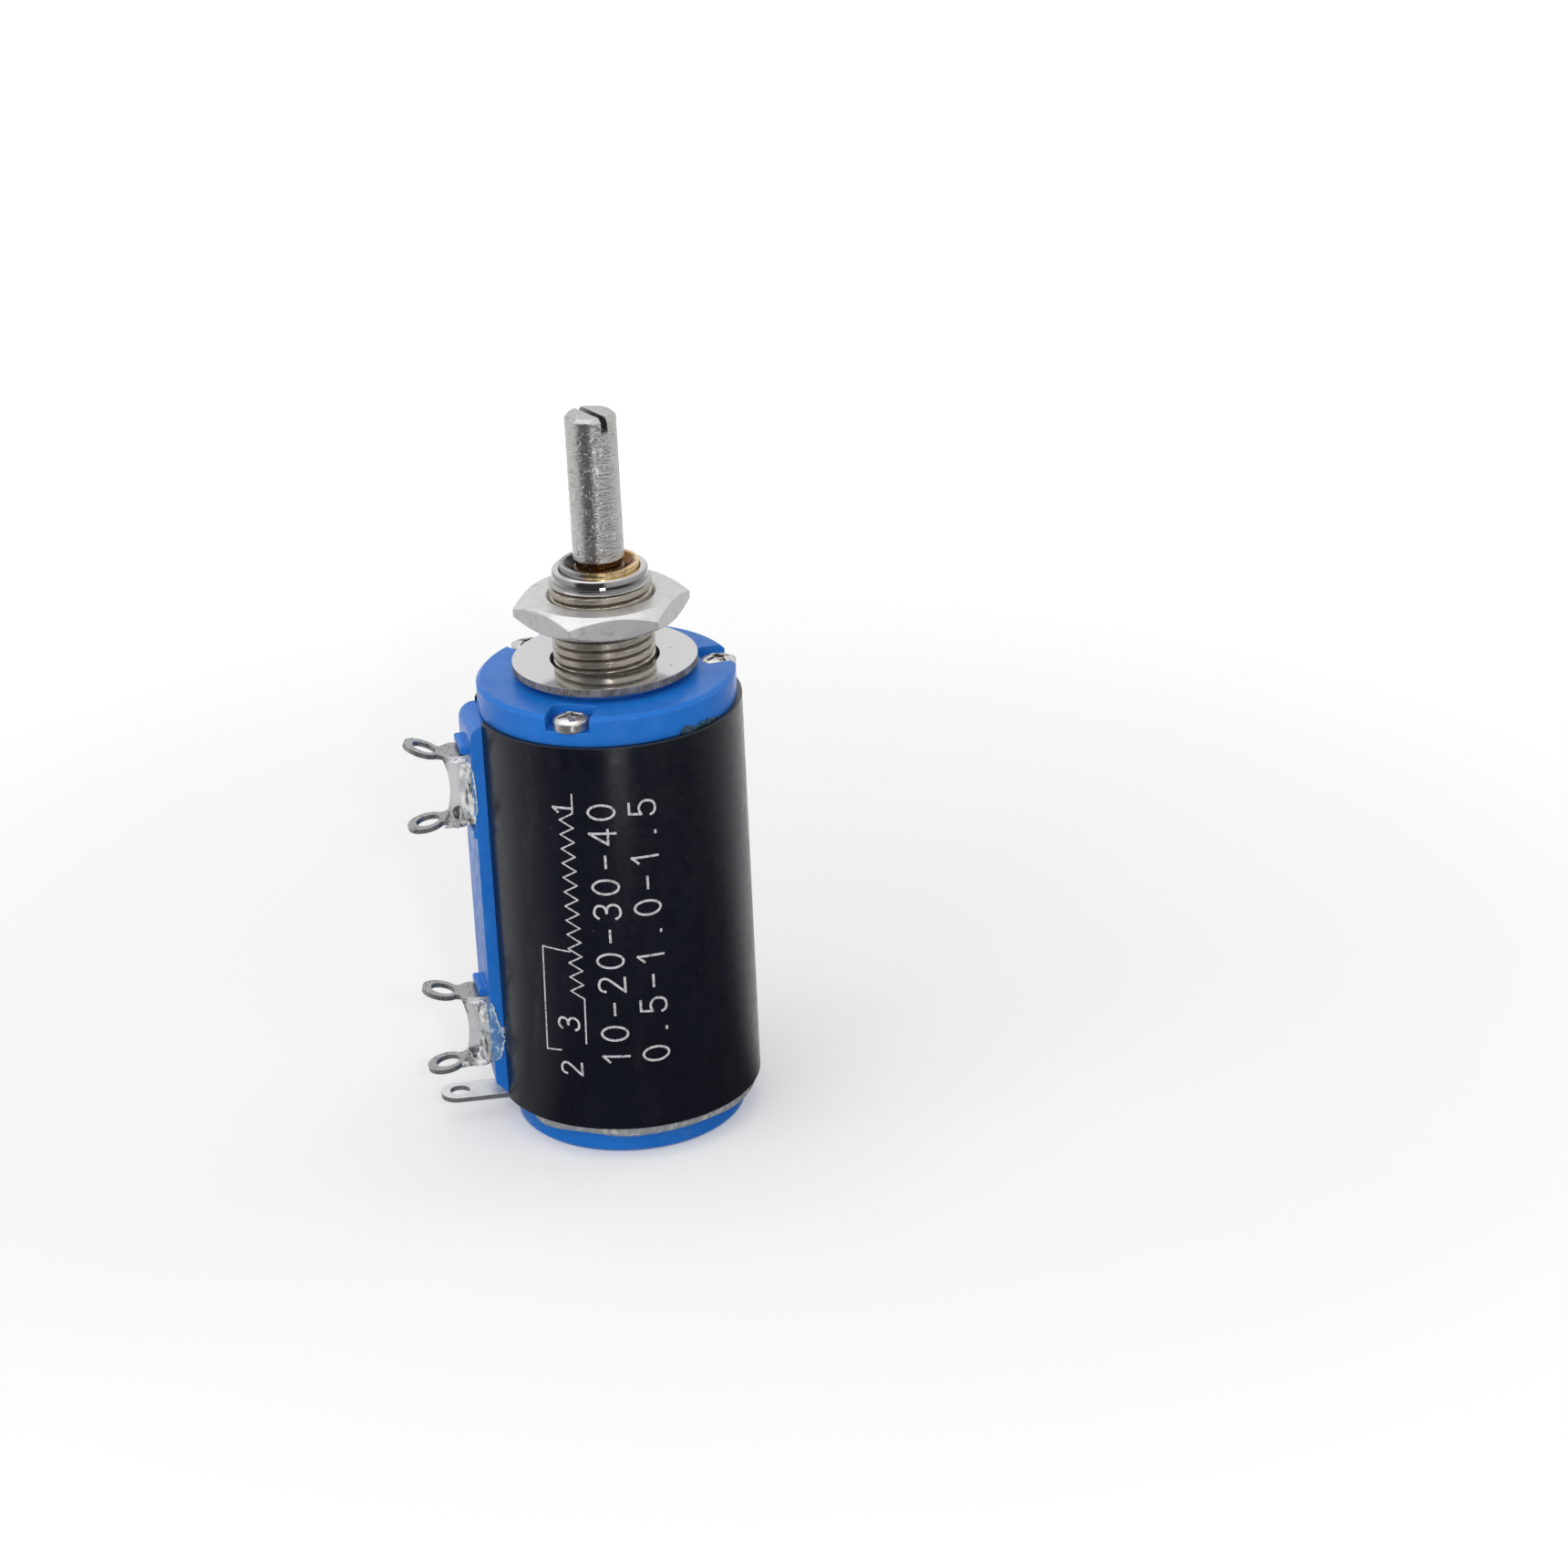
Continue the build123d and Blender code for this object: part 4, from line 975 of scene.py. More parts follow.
@dataclass(frozen=True)
class WoundWire(Finish):
    """Fine wire wound round the mandrel of the element, seen as ribs across it."""

    colour: Colour = (0.50, 0.36, 0.22)
    gap: Colour = (0.10, 0.07, 0.05)
    turns: float = 260.0

    def paint(self, look: Look) -> None:
        """The wires are the sine of the angle times their number on one turn of the helix.

        Args:
            look: The finish's look.
        """
        wires = look.math("SINE", look.axes()[1] * self.turns)
        look.shade(
            Base_Color=wires.level(-0.8, 0.2).mix(self.gap, self.colour),
            Metallic=1.0,
            Roughness=look.dull(1.0, 3.0, (0.25, 0.45)),
            Normal=wires.bump(0.02),
        )


# ---------------------------------------------------------------- sub-assemblies


@dataclass
class ThreadedBushing:
    """Nickel bushing: collar, fine right-hand thread, smooth nose and bore."""

    bore_radius: float = 3.12
    collar_radius: float = 5.2
    collar_rear: float = 33.9
    collar_front: float = 35.4
    thread_radius: float = 4.0
    thread_start: float = 38.2
    thread_end: float = 45.26
    thread_pitch: float = 0.75
    thread_depth: float = 0.32
    shoulder_height: float = 45.36
    nose_radius: float = 3.74
    nose_top: float = 46.35
    nose_round: float = 0.14
    rows_per_pitch: int = 15
    columns: int = 144
    finish: Finish = TurnedNickel("turned_nickel")

    def profile(self) -> tuple[np.ndarray, int, int]:
        """Section of the bushing, up its outside and down its bore.

        Returns:
            The section's radii and heights, and the first and last row of the thread.
        """
        thread, nose, shoulder = self.thread_radius, self.nose_radius, self.shoulder_height
        collar = rounded(
            [(self.bore_radius, self.collar_rear), (self.collar_radius, self.collar_rear),
             (self.collar_radius, self.collar_front), (thread, self.collar_front), (thread, self.thread_start)],
            0.15,
        )
        rows = int(self.rows_per_pitch * (self.thread_end - self.thread_start) / self.thread_pitch)
        heights = np.linspace(self.thread_start, self.thread_end, rows + 2)[1:-1]
        front = rounded(
            [(thread, self.thread_end), (thread - 0.2, shoulder), (nose - 0.06, shoulder + 0.04),
             (nose, shoulder + 0.22), (nose, self.nose_top - self.nose_round), (nose - self.nose_round, self.nose_top),
             (self.bore_radius, self.nose_top), (self.bore_radius, self.collar_rear + 0.3)],
            0.3,
            steps=7,
        )
        crests = np.stack([np.full(rows, thread), heights], -1)
        return np.vstack([collar, crests, front]), len(collar), len(collar) + rows

    def thread_cut(self, profile: np.ndarray, first: int, last: int) -> np.ndarray:
        """How far the thread is cut into each point of the section.

        The cut is deepest where height over pitch less angle over a full turn is a whole number and a half. Its
        walls are smooth steps, and it runs out at its lower end.

        Args:
            profile: The section.
            first: First row of the thread.
            last: First row after the thread.

        Returns:
            The cut for each row and column.
        """
        height = profile[:, 1:]
        phase = (height / self.thread_pitch - round_angles(self.columns) / TURN) % 1.0
        groove = 1.0 - smooth_step(np.abs(phase - 0.5) * 2.0, 0.0, 0.48)
        row = np.arange(len(profile))[:, None]
        inside = (row >= first) & (row < last)
        return self.thread_depth * groove * inside * smooth_step(height, self.thread_start, self.thread_start + 0.3)

    def build(self) -> None:
        """Makes the bushing and takes the plain one off the view."""
        profile, first, last = self.profile()
        grid = turned(profile, self.columns, self.thread_cut(profile, first, last))
        put("threaded_bushing", [grid], self.finish, "bushing", looped=True)


@dataclass
class CoverScrews:
    """Three domed screws with cross recesses, round the edge of the front cover."""

    ring_radius: float = 9.03
    angles: Triple = (5.8, 125.8, 245.8)
    turns: Triple = (20.0, 50.0, 4.0)
    lifts: Triple = (0.0, 0.35, 0.0)
    head_radius: float = 1.40
    head_base: float = 36.5
    head_top: float = 37.60
    dome: float = 0.34
    shank_radius: float = 0.85
    shank_end: float = 32.2
    recess_depth: float = 0.42
    arm_length: float = 1.02
    arm_half_width: float = 0.26
    arm_taper: float = 0.4
    arm_run_out: float = 0.2
    wall_run: float = 0.03
    dome_rows: int = 60
    columns: int = 160
    finish: Finish = PlatedMetal("bright_screw_steel", (0.60, 0.59, 0.585), (0.34, 0.32, 0.30), stain_size=0.55,
                                 gloss=(0.18, 0.32), mark_size=0.25, mark_depth=0.012, metallic=0.85,
                                 hollow="recess")

    def arm(self, along: np.ndarray, beside: np.ndarray) -> np.ndarray:
        """1 inside one arm of the cross and 0 outside it, narrower towards its ends.

        Args:
            along: Way along the arm from the screw's middle.
            beside: Way off the arm's middle line.

        Returns:
            The share for each place.
        """
        width = self.arm_half_width * (1.15 - self.arm_taper * np.abs(along) / self.arm_length)
        walls = 1.0 - smooth_step(np.abs(beside) - width, -self.wall_run, self.wall_run)
        return walls * (1.0 - smooth_step(np.abs(along), self.arm_length - self.arm_run_out, self.arm_length))

    def screw(self, angle: float, turn: float, lift: float) -> tuple[np.ndarray, np.ndarray]:
        """Grid of one screw: up its shank and head, then over the dome to the middle of the cross.

        The dome falls by its height times the share of the way out to the power 2.2, a little more at the edge. The
        cross gets shallower from its middle out.

        Args:
            angle: Where the screw stands about the shaft, in degrees.
            turn: How its cross is turned, in degrees.
            lift: How far its head stands up off the pocket's floor.

        Returns:
            Rows by columns by three, and how deep in the recess each point is, from 0 to 1.
        """
        r, shank, base = self.head_radius, self.shank_radius, self.head_base
        side_top = self.head_top - self.dome
        below = rounded(
            [(0.05, self.shank_end), (shank, self.shank_end + 0.4), (shank, base), (r - 0.03, base), (r, base + 0.12),
             (r, side_top - 0.12), (r * 0.985, side_top)],
            0.1,
        )
        out = np.linspace(0.978, 0.004, self.dome_rows)
        top = np.stack([r * out, self.head_top - self.dome * out**2.2 * (1.0 + 0.25 * out**12)], -1)
        points = turned(np.vstack([below, top]), self.columns)
        x, y, _ = np.moveaxis(swung(points, -turn), -1, 0)
        deep = (1.0 - 0.35 * np.hypot(x, y) / self.arm_length) * np.maximum(self.arm(x, y), self.arm(y, x))
        deep[: len(below)] = 0.0
        points[..., 2] -= self.recess_depth * deep
        points[..., 2] += lift * (points[..., 2] > base - 0.01)
        return points + polar(self.ring_radius, np.radians(angle), 0.0), deep

    def build(self) -> None:
        """Makes the three screws as one piece, with their recess depths, to which each pole adds one."""
        made = [self.screw(*each) for each in zip(self.angles, self.turns, self.lifts)]
        piece = put("cross_recess_screws", [grid for grid, _ in made], self.finish, "cover_screws",
                    sharp_over=55.0)
        depths = [part for _, deep in made for part in (deep.reshape(-1), np.zeros(1), deep[-1:].mean(1))]
        marks = piece.data.attributes.new("recess", "FLOAT", "POINT")
        marks.data.foreach_set("value", np.concatenate(depths).astype(np.float32))


@dataclass(frozen=True)
class Joint:
    """How one terminal is soldered and glued.

    Attributes:
        name: Which terminal.
        mid: Height of the terminal's middle.
        seed: Which lumps.
        half_width: Half width of the solder across the corner of web and strip.
        bulge: How far the solder stands out of the corner.
        film: Heights from the middle and how far the glue there goes over the strip's side.
    """

    name: str
    mid: float
    seed: int
    half_width: float
    bulge: float
    film: tuple[Pair, ...]


@dataclass
class TerminalSolder:
    """Solder lumps where each stamped terminal leaves the strip, with clear glue over the strip's side.

    Each of the runs is told by three places, from the web's front face at the terminal's middle, and by its half
    widths at its two ends. They go by the web, on the lower lug's root, beside it, along it and along the upper lug.
    The corner's two directions are across it and out of it, and the halves are half widths.
    """

    strip_edge: Pair = (-11.14, -2.7)
    corner: Pair = (-11.52, -2.02)
    corner_across: Triple = (0.58, -0.815, 0.0)
    corner_out: Triple = (-0.815, -0.58, 0.0)
    web_front: float = -1.5
    lug_half_gap: float = 2.7
    sway: float = 0.05
    run_sway: float = 0.07
    flux_x: float = -12.55
    flux_heights: Pair = (0.35, 1.5)
    flux_halves: Pair = (0.42, 0.1)
    film_half: float = 0.07
    rim_half: float = 0.065
    rows: int = 110
    runs: tuple[tuple[tuple[Triple, ...], Pair], ...] = (
        (((-12.0, 0.0, 2.35), (-11.9, 0.0, 0.0), (-12.02, 0.0, -1.4)), (0.13, 0.10)),
        (((-12.02, 0.0, -1.2), (-12.25, -0.1, -2.0), (-12.1, -0.1, -2.75)), (0.12, 0.15)),
        (((-13.0, 0.0, -1.75), (-12.75, -0.1, -2.3), (-12.35, -0.1, -2.65)), (0.12, 0.13)),
        (((-11.4, -0.25, -2.6), (-12.4, -0.1, -2.75), (-13.7, 0.15, -2.9)), (0.30, 0.17)),
        (((-12.7, 0.0, 2.6), (-12.1, -0.1, 2.58), (-11.45, -0.5, 2.65)), (0.13, 0.26)),
    )
    joints: tuple[Joint, ...] = (
        Joint("front", 29.31, 11, 0.80, 0.40,
              ((-1.7, 0.02), (-1.3, 0.15), (-0.4, 0.17), (0.4, 0.12), (1.3, 0.08), (2.1, 0.02))),
        Joint("rear", 8.40, 37, 0.52, 0.34,
              ((-2.2, 0.05), (-2.0, 0.45), (-1.3, 0.8), (-0.4, 0.9), (0.15, 0.75), (0.4, 1.25), (0.7, 0.65),
               (1.5, 0.42), (2.5, 0.25), (2.9, 0.05))),
    )
    solder: Finish = LumpySolder("wrinkled_solder")
    burnt_flux: Finish = LumpySolder("burnt_flux", (0.30, 0.31, 0.33), (0.09, 0.095, 0.10), (0.02, 0.02, 0.022))
    film_glue: Finish = ClearGlue("clear_glue", (0.24, 0.50, 0.82), 0.6, 0.02, 1.2, (0.55, 0.74, 0.90))
    rim_glue: Finish = ClearGlue("milky_glue", (0.80, 0.88, 0.94), 0.2, 0.03)

    def corner_bead(self, joint: Joint) -> np.ndarray:
        """Solder across the corner of web and strip, from the upper lug to the lower one.

        Its section is long across the corner and short out of it. The middle line sways a little, and the half
        widths are their middle value times the square root of one less the sixth power of the way along.

        Args:
            joint: The joint it belongs to.

        Returns:
            Grid of points.
        """
        way = np.linspace(-0.995, 0.995, self.rows)
        z = joint.mid + way * (self.lug_half_gap - 0.02)
        sway = ripple_along(z, 2.2, joint.seed)
        path = np.stack([*(side + self.sway * sway for side in self.corner), z], -1)
        full = np.sqrt(1.0 - way**6)
        return bead(path, self.corner_across, self.corner_out,
                    (joint.half_width * full * (1 + 0.1 * sway), joint.bulge * full), 0.17, 0.7, joint.seed, 48,
                    (1.4, 1.4, 0.5))

    def ridge(self, places: np.ndarray, thick: Pair, seed: int) -> np.ndarray:
        """Thin wavy run of solder along a few places, thinner at both ends.

        Args:
            places: Points that it goes by.
            thick: Half widths at its two ends, before they thin out.
            seed: Which lumps.

        Returns:
            Grid of points.
        """
        way = np.linspace(0.0, 1.0, self.rows // 2)
        path = walked(places, way * distances(places)[-1])
        for axis in (0, 2):
            path[:, axis] += self.run_sway * ripple(path, 0.9, seed + axis) * np.sin(np.pi * way)
        along = unit(np.gradient(path, axis=0))
        front = np.array([0.0, -1.0, 0.0])
        out = unit(front - (front * along).sum(1, keepdims=True) * along)
        half = (thick[0] + (thick[1] - thick[0]) * way) * (np.sqrt(np.clip(1.0 - (2 * way - 1) ** 6, 0, 1)) + 0.03)
        return bead(path, np.cross(out, along), out, (half, half * 1.1), 0.22, 0.5, seed, 18)

    def lumps(self, joint: Joint) -> list[np.ndarray]:
        """The corner bead and the runs beside it.

        Args:
            joint: The joint they belong to.

        Returns:
            A grid for each.
        """
        start = np.array([0.0, self.web_front - 0.06, joint.mid])
        return [self.corner_bead(joint)] + [self.ridge(start + places, thick, joint.seed + 3 + 2 * run)
                                            for run, (places, thick) in enumerate(self.runs)]

    def flux(self, joint: Joint) -> np.ndarray:
        """Patch of burnt flux on the web, in the corner above the lower lug.

        Args:
            joint: The joint it belongs to.

        Returns:
            Grid of points.
        """
        z = joint.mid - self.lug_half_gap + np.linspace(*self.flux_heights, self.rows // 2)
        path = np.stack([self.flux_x + 0.12 * (z - z[0]), np.full_like(z, self.web_front - 0.02), z], -1)
        full = np.sqrt(1.0 - np.linspace(-0.99, 0.99, len(z)) ** 2)
        halves = tuple(half * full for half in self.flux_halves)
        return bead(path, (1.0, 0.0, 0.0), (0.0, -1.0, 0.0), halves, 0.25, 0.5, joint.seed + 13, 24)

    def film_edge(self, joint: Joint) -> np.ndarray:
        """Ragged outer edge of the glue on the strip's side, one point a row.

        Args:
            joint: The joint it belongs to.

        Returns:
            The edge's points.
        """
        heights, reaches = np.array(joint.film).T
        z = np.linspace(heights[0], heights[-1], self.rows)
        reach = np.interp(z, heights, reaches) * (1.0 + 0.1 * ripple_along(z, 0.8, joint.seed + 7))
        return np.stack([self.strip_edge[0] + reach, np.full(self.rows, self.strip_edge[1] - 0.015), joint.mid + z], -1)

    def film(self, joint: Joint) -> np.ndarray:
        """Thin skin of glue between the strip's edge and the film's own edge.

        Args:
            joint: The joint it belongs to.

        Returns:
            Grid of points.
        """
        edge = self.film_edge(joint)
        half = np.clip((edge[:, 0] - self.strip_edge[0] + 0.1) / 2, 0.02, None)
        path = edge - half[:, None] * (1.0, 0.0, 0.0)
        return bead(path, (1.0, 0.0, 0.0), (0.0, 1.0, 0.0), (half, self.film_half), 0.06, 0.7, joint.seed)

    def rim(self, joint: Joint) -> np.ndarray:
        """Milky bead along the film's edge.

        Args:
            joint: The joint it belongs to.

        Returns:
            Grid of points.
        """
        edge = self.film_edge(joint)
        out = np.array([0.0, -1.0, 0.0])
        half = np.full(self.rows, self.rim_half)
        half[[0, -1]] = 0.01
        across = np.cross(out, unit(np.gradient(edge, axis=0)))
        return bead(edge, across, out, (half, half), 0.35, 0.5, joint.seed + 9, 14)

    def build(self) -> None:
        """Makes a solder piece, a patch of flux and two glue pieces for each terminal."""
        for joint in self.joints:
            put(f"{joint.name}_solder_lumps", self.lumps(joint), self.solder, f"{joint.name}_solder")
            for part, grid, finish in (("flux", self.flux(joint), self.burnt_flux),
                                       ("glue_film", self.film(joint), self.film_glue),
                                       ("glue_rim", self.rim(joint), self.rim_glue)):
                put(f"{joint.name}_{part}", [grid], finish)


@dataclass
class SeamGlue:
    """Glue fillet in the corner between the tube's rear end and the rear cover, thin at both ends.

    The ends are the shares of the arc over which it grows and thins out.
    """

    cover_radius: float = 9.15
    rim_radius: float = 10.42
    rim_height: float = 2.84
    drop: float = 1.55
    start: float = -160.0
    arc: float = 200.0
    ends: Pair = (0.11, 0.35)
    circle: float = 0.62
    hollow: float = 0.55
    rows: int = 300
    columns: int = 20
    finish: Finish = ClearGlue("seam_glue", (0.48, 0.49, 0.48), 0.4, 0.03, 1.4, (0.62, 0.62, 0.58))

    def build(self) -> None:
        """Carries a rounded three-cornered section round the seam.

        A point of the section is its share of the way out to the rim and its share of the drop down the cover. Both
        shares are those of a circle squeezed into the corner, times the bead's fullness at that angle.
        """
        way = np.linspace(0.0, 1.0, self.rows)[:, None]
        angle = np.radians(self.start + self.arc * way)
        turn = round_angles(self.columns)
        full = smooth_step(way, -0.01, self.ends[0]) * smooth_step(1.0 - way, -0.01, self.ends[1])
        full = full * (0.9 + 0.1 * ripple(polar(self.rim_radius, angle, 0.0), 5.0, 3)) + 0.02
        out_share, down_share = (np.clip(0.5 + self.circle * side, 0.0, 1.0) for side in (np.cos(turn), np.sin(turn)))
        radius = self.cover_radius + (self.rim_radius - self.cover_radius) * out_share * full
        height = self.rim_height - self.drop * down_share * (1.0 - self.hollow * out_share) * full
        put("seam_glue_bead", [polar(radius, angle, height)], self.finish, "seam_glue")


@dataclass
class SealResidue:
    """Ragged crumbs of sealing lacquer on the lower edge of the front cover."""

    radius: float = 10.16
    height: float = 35.52
    angles: tuple[float, ...] = (-62.0, -60.4, -57.5, -54.0, -51.0, -47.5, -44.0, -40.5)
    sizes: tuple[float, ...] = (0.30, 0.44, 0.30, 0.24, 0.36, 0.30, 0.22, 0.14)
    shape: Triple = (0.35, 1.1, 1.0)
    first_seed: int = 60
    finish: Finish = MouldedPlastic("lacquer_residue", (0.012, 0.06, 0.10), (0.006, 0.03, 0.055), (0.09, 0.22, 0.30),
                                    scuff_share=0.7, gloss=(0.2, 0.45), grain_depth=0.03, edge=0.02)

    def crumb(self, angle: float, size: float, seed: int) -> np.ndarray:
        """Lump whose distance from its middle is its size times one plus a ripple, flat against the cover.

        Args:
            angle: Where it sits about the shaft, in degrees.
            size: Its half width.
            seed: Which shape.

        Returns:
            Grid of points.
        """
        tilt = np.linspace(0.06, np.pi - 0.06, 18)[:, None]
        ball = polar(np.sin(tilt), round_angles(24), -np.cos(tilt))
        push = 1.0 + 0.32 * ripple(ball * size, 0.5, seed) + 0.2 * ripple(ball * size, 0.22, seed + 1)
        lump = ball * push[..., None] * size * self.shape
        return swung(lump + (self.radius, 0.0, self.height), angle)

    def build(self) -> None:
        """Makes the crumbs as one piece."""
        crumbs = [self.crumb(angle, size, self.first_seed + place)
                  for place, (angle, size) in enumerate(zip(self.angles, self.sizes))]
        put("lacquer_crumbs", crumbs, self.finish)


@dataclass(frozen=True)
class Figure:
    """Lines of one figure in a cell one high and about two thirds wide. A line of more than two points is a curve."""

    lines: tuple[tuple[Pair, ...], ...]

    def paths(self) -> list[np.ndarray]:
        """Each line's points."""
        return [np.array(line) if len(line) < 3 else smoothed(np.array(line)) for line in self.lines]


@dataclass(frozen=True)
class Ring(Figure):
    """The figure 0: an ellipse with its middle and half widths."""

    middle: Pair = (0.31, 0.5)
    halves: Pair = (0.29, 0.5)

    def paths(self) -> list[np.ndarray]:
        """The ellipse's points."""
        turn = np.linspace(0.0, TURN, 33)
        return [self.middle + np.stack([np.sin(turn), np.cos(turn)], -1) * self.halves]


FIGURES = {
    "0": Ring(()),
    "1": Figure((((0.12, 0.76), (0.36, 1.0)), ((0.36, 1.0), (0.36, 0.0)))),
    "2": Figure((((0.04, 0.76), (0.10, 0.93), (0.31, 1.0), (0.53, 0.92), (0.59, 0.74), (0.50, 0.55), (0.26, 0.27),
                  (0.03, 0.0)), ((0.03, 0.0), (0.62, 0.0)))),
    "3": Figure((((0.05, 0.85), (0.16, 0.97), (0.33, 1.0), (0.53, 0.91), (0.57, 0.75), (0.49, 0.59), (0.27, 0.53)),
                 ((0.27, 0.53), (0.52, 0.47), (0.61, 0.28), (0.52, 0.08), (0.31, 0.0), (0.12, 0.04), (0.02, 0.18)))),
    "4": Figure((((0.47, 0.0), (0.47, 1.0)), ((0.47, 1.0), (0.02, 0.3)), ((0.02, 0.3), (0.62, 0.3)))),
    "5": Figure((((0.55, 1.0), (0.12, 1.0)), ((0.12, 1.0), (0.07, 0.55)),
                 ((0.07, 0.55), (0.31, 0.63), (0.54, 0.52), (0.60, 0.31), (0.51, 0.08), (0.29, 0.0), (0.09, 0.05),
                  (0.02, 0.18)))),
    "-": Figure((((0.08, 0.45), (0.56, 0.45)),)),
    ".": Figure((((0.27, 0.04), (0.35, 0.04)),)),
}


@dataclass
class CasePrint:
    """Pale print on the tube: the wiring zigzag with its plain numbers, and two columns of plain numbers.

    Places on the tube are given as the angle about the shaft in degrees and the height. Each text is told by its
    figures, its foot's angle, the height where it starts, and the height and distance of its figures.
    """

    tube_radius: float = 10.55
    proud: float = 0.012
    sunk: float = 0.05
    figure_line: float = 0.19
    wiring_line: float = 0.12
    line_end: float = 0.4
    line_step: float = 0.16
    texts: tuple[tuple[str, float, float, float, float], ...] = (
        ("1", -113.2, 29.85, 1.6, 0.0), ("3", -116.6, 11.35, 1.75, 0.0), ("2", -116.6, 7.4, 1.75, 0.0),
        ("10-20-30-40", -95.6, 8.5, 2.05, 2.1), ("0.5-1.0-1.5", -78.4, 8.6, 2.05, 2.1),
    )
    zigzag_tips: int = 27
    zigzag_sides: Pair = (-113.4, -119.3)
    zigzag_top: float = 30.0
    zigzag_step: float = 0.608
    upper_lead: Pair = (-113.2, 31.6)
    lower_lead: Pair = (-113.9, 10.3)
    bracket: tuple[Pair, ...] = ((-118.6, 18.2), (-131.7, 18.3), (-133.0, 9.3), (-125.8, 9.45))
    finish: Finish = PrintInk("pale_print_ink")

    def ribbon(self, path: np.ndarray, width: float) -> np.ndarray:
        """Thin closed strip along a path on the tube.

        The path is laid out flat as arc length and height, divided into short steps, and widened by half the width
        to each side, square to its own direction. Flat places then go round the tube, a little above its surface
        and a little below.

        Args:
            path: Angles in degrees and heights.
            width: The strip's width.

        Returns:
            Grid of points.
        """
        flat = np.stack([np.radians(path[:, 0]) * self.tube_radius, path[:, 1]], -1)
        whole = distances(flat)[-1]
        past = self.line_end * width
        steps = np.linspace(-past, whole + past, max(3, int(whole / self.line_step) + 2))
        line = walked(flat, np.clip(steps, 0.0, whole))
        line += np.minimum(steps, 0.0)[:, None] * unit(flat[1] - flat[0])
        line += np.maximum(steps - whole, 0.0)[:, None] * unit(flat[-1] - flat[-2])
        slope = unit(np.gradient(line, axis=0))
        side = np.stack([-slope[:, 1], slope[:, 0]], -1) * width / 2
        corners = np.stack([line - side, line + side, line + side, line - side], 1)
        radii = self.tube_radius + np.array([-self.sunk, -self.sunk, self.proud, self.proud])
        return polar(radii, corners[..., 0] / self.tube_radius, corners[..., 1])

    def wiring(self) -> list[np.ndarray]:
        """The zigzag of the resistance, its end leads, and the bracket that leads to the wiper.

        Returns:
            A grid for each line.
        """
        tips = np.arange(self.zigzag_tips)
        zigzag = np.stack([np.take(self.zigzag_sides, tips % 2), self.zigzag_top - tips * self.zigzag_step], -1)
        bracket = np.array(self.bracket)
        lines = [zigzag[i : i + 2] for i in range(len(zigzag) - 1)]
        lines += [np.array([zigzag[0], self.upper_lead]), np.array([zigzag[-1], self.lower_lead])]
        lines += [bracket[i : i + 2] for i in range(len(bracket) - 1)]
        return [self.ribbon(line, self.wiring_line) for line in lines]

    def text(self, figures: str, base: float, start: float, height: float, pitch: float) -> list[np.ndarray]:
        """Figures one above another that read upwards.

        Args:
            figures: The figures.
            base: Angle of their foot, in degrees.
            start: Height where the first one's cell starts.
            height: A figure's own height, foot to head.
            pitch: From one figure's start to the next.

        Returns:
            A grid for each line.
        """
        degrees = np.degrees(height / self.tube_radius)
        return [
            self.ribbon(np.stack([base - line[:, 1] * degrees, start + place * pitch + line[:, 0] * height], -1),
                        self.figure_line)
            for place, figure in enumerate(figures) for line in FIGURES[figure].paths()
        ]

    def build(self) -> None:
        """Makes all the print as one piece."""
        put("case_print", self.wiring() + [grid for text in self.texts for grid in self.text(*text)], self.finish)


# The blue moulding has a painted highlight on its edges and painted shade round the shaft.
BLUE = MouldedPlastic("blue_moulding", (0.014, 0.178, 0.645), (0.011, 0.155, 0.58), (0.26, 0.52, 0.82), 0.08,
                      (0.22, 0.36), specular=0.2, nick_level=0.75, edge_highlight=0.5, painted_shade_radius=4.7)
BLACK = MouldedPlastic("black_case", (0.0036, 0.0053, 0.0124), (0.0027, 0.0041, 0.0102), (0.12, 0.125, 0.135), 0.05,
                       (0.20, 0.30), scuff_run=Grain.ALONG, nick_level=0.755, edge=0.2, worn_side=(-158.0, 3.0))
NICKEL = PlatedMetal("satin_nickel", (0.63, 0.625, 0.62), (0.42, 0.40, 0.38), 1.0, 0.3, (0.3, 0.42), mark_size=0.3,
                     pit_size=0.9, pit_depth=0.005, edge=0.12, metallic=0.86, flat_metallic=0.55)
PALE_TIN = TinnedSheet("tinned_tab", (0.86, 0.865, 0.87), out_from=(15.6, 17.4), bare_flats=False)
BRASS = PlatedMetal("plain_brass", (0.75, 0.55, 0.28), (0.4, 0.25, 0.1), gloss=(0.2, 0.35))
BRONZE = PlatedMetal("spring_bronze", (0.70, 0.48, 0.30), (0.4, 0.24, 0.14), gloss=(0.18, 0.3))
DRUM = MouldedPlastic("drum_moulding", (0.60, 0.58, 0.52), (0.52, 0.50, 0.44), (0.8, 0.78, 0.72))
SLIDER = MouldedPlastic("slider_moulding", (0.05, 0.05, 0.055), (0.035, 0.035, 0.04), (0.2, 0.2, 0.2))
THRUST = MouldedPlastic("washer_moulding", (0.78, 0.76, 0.70), (0.7, 0.68, 0.6), (0.9, 0.88, 0.84))


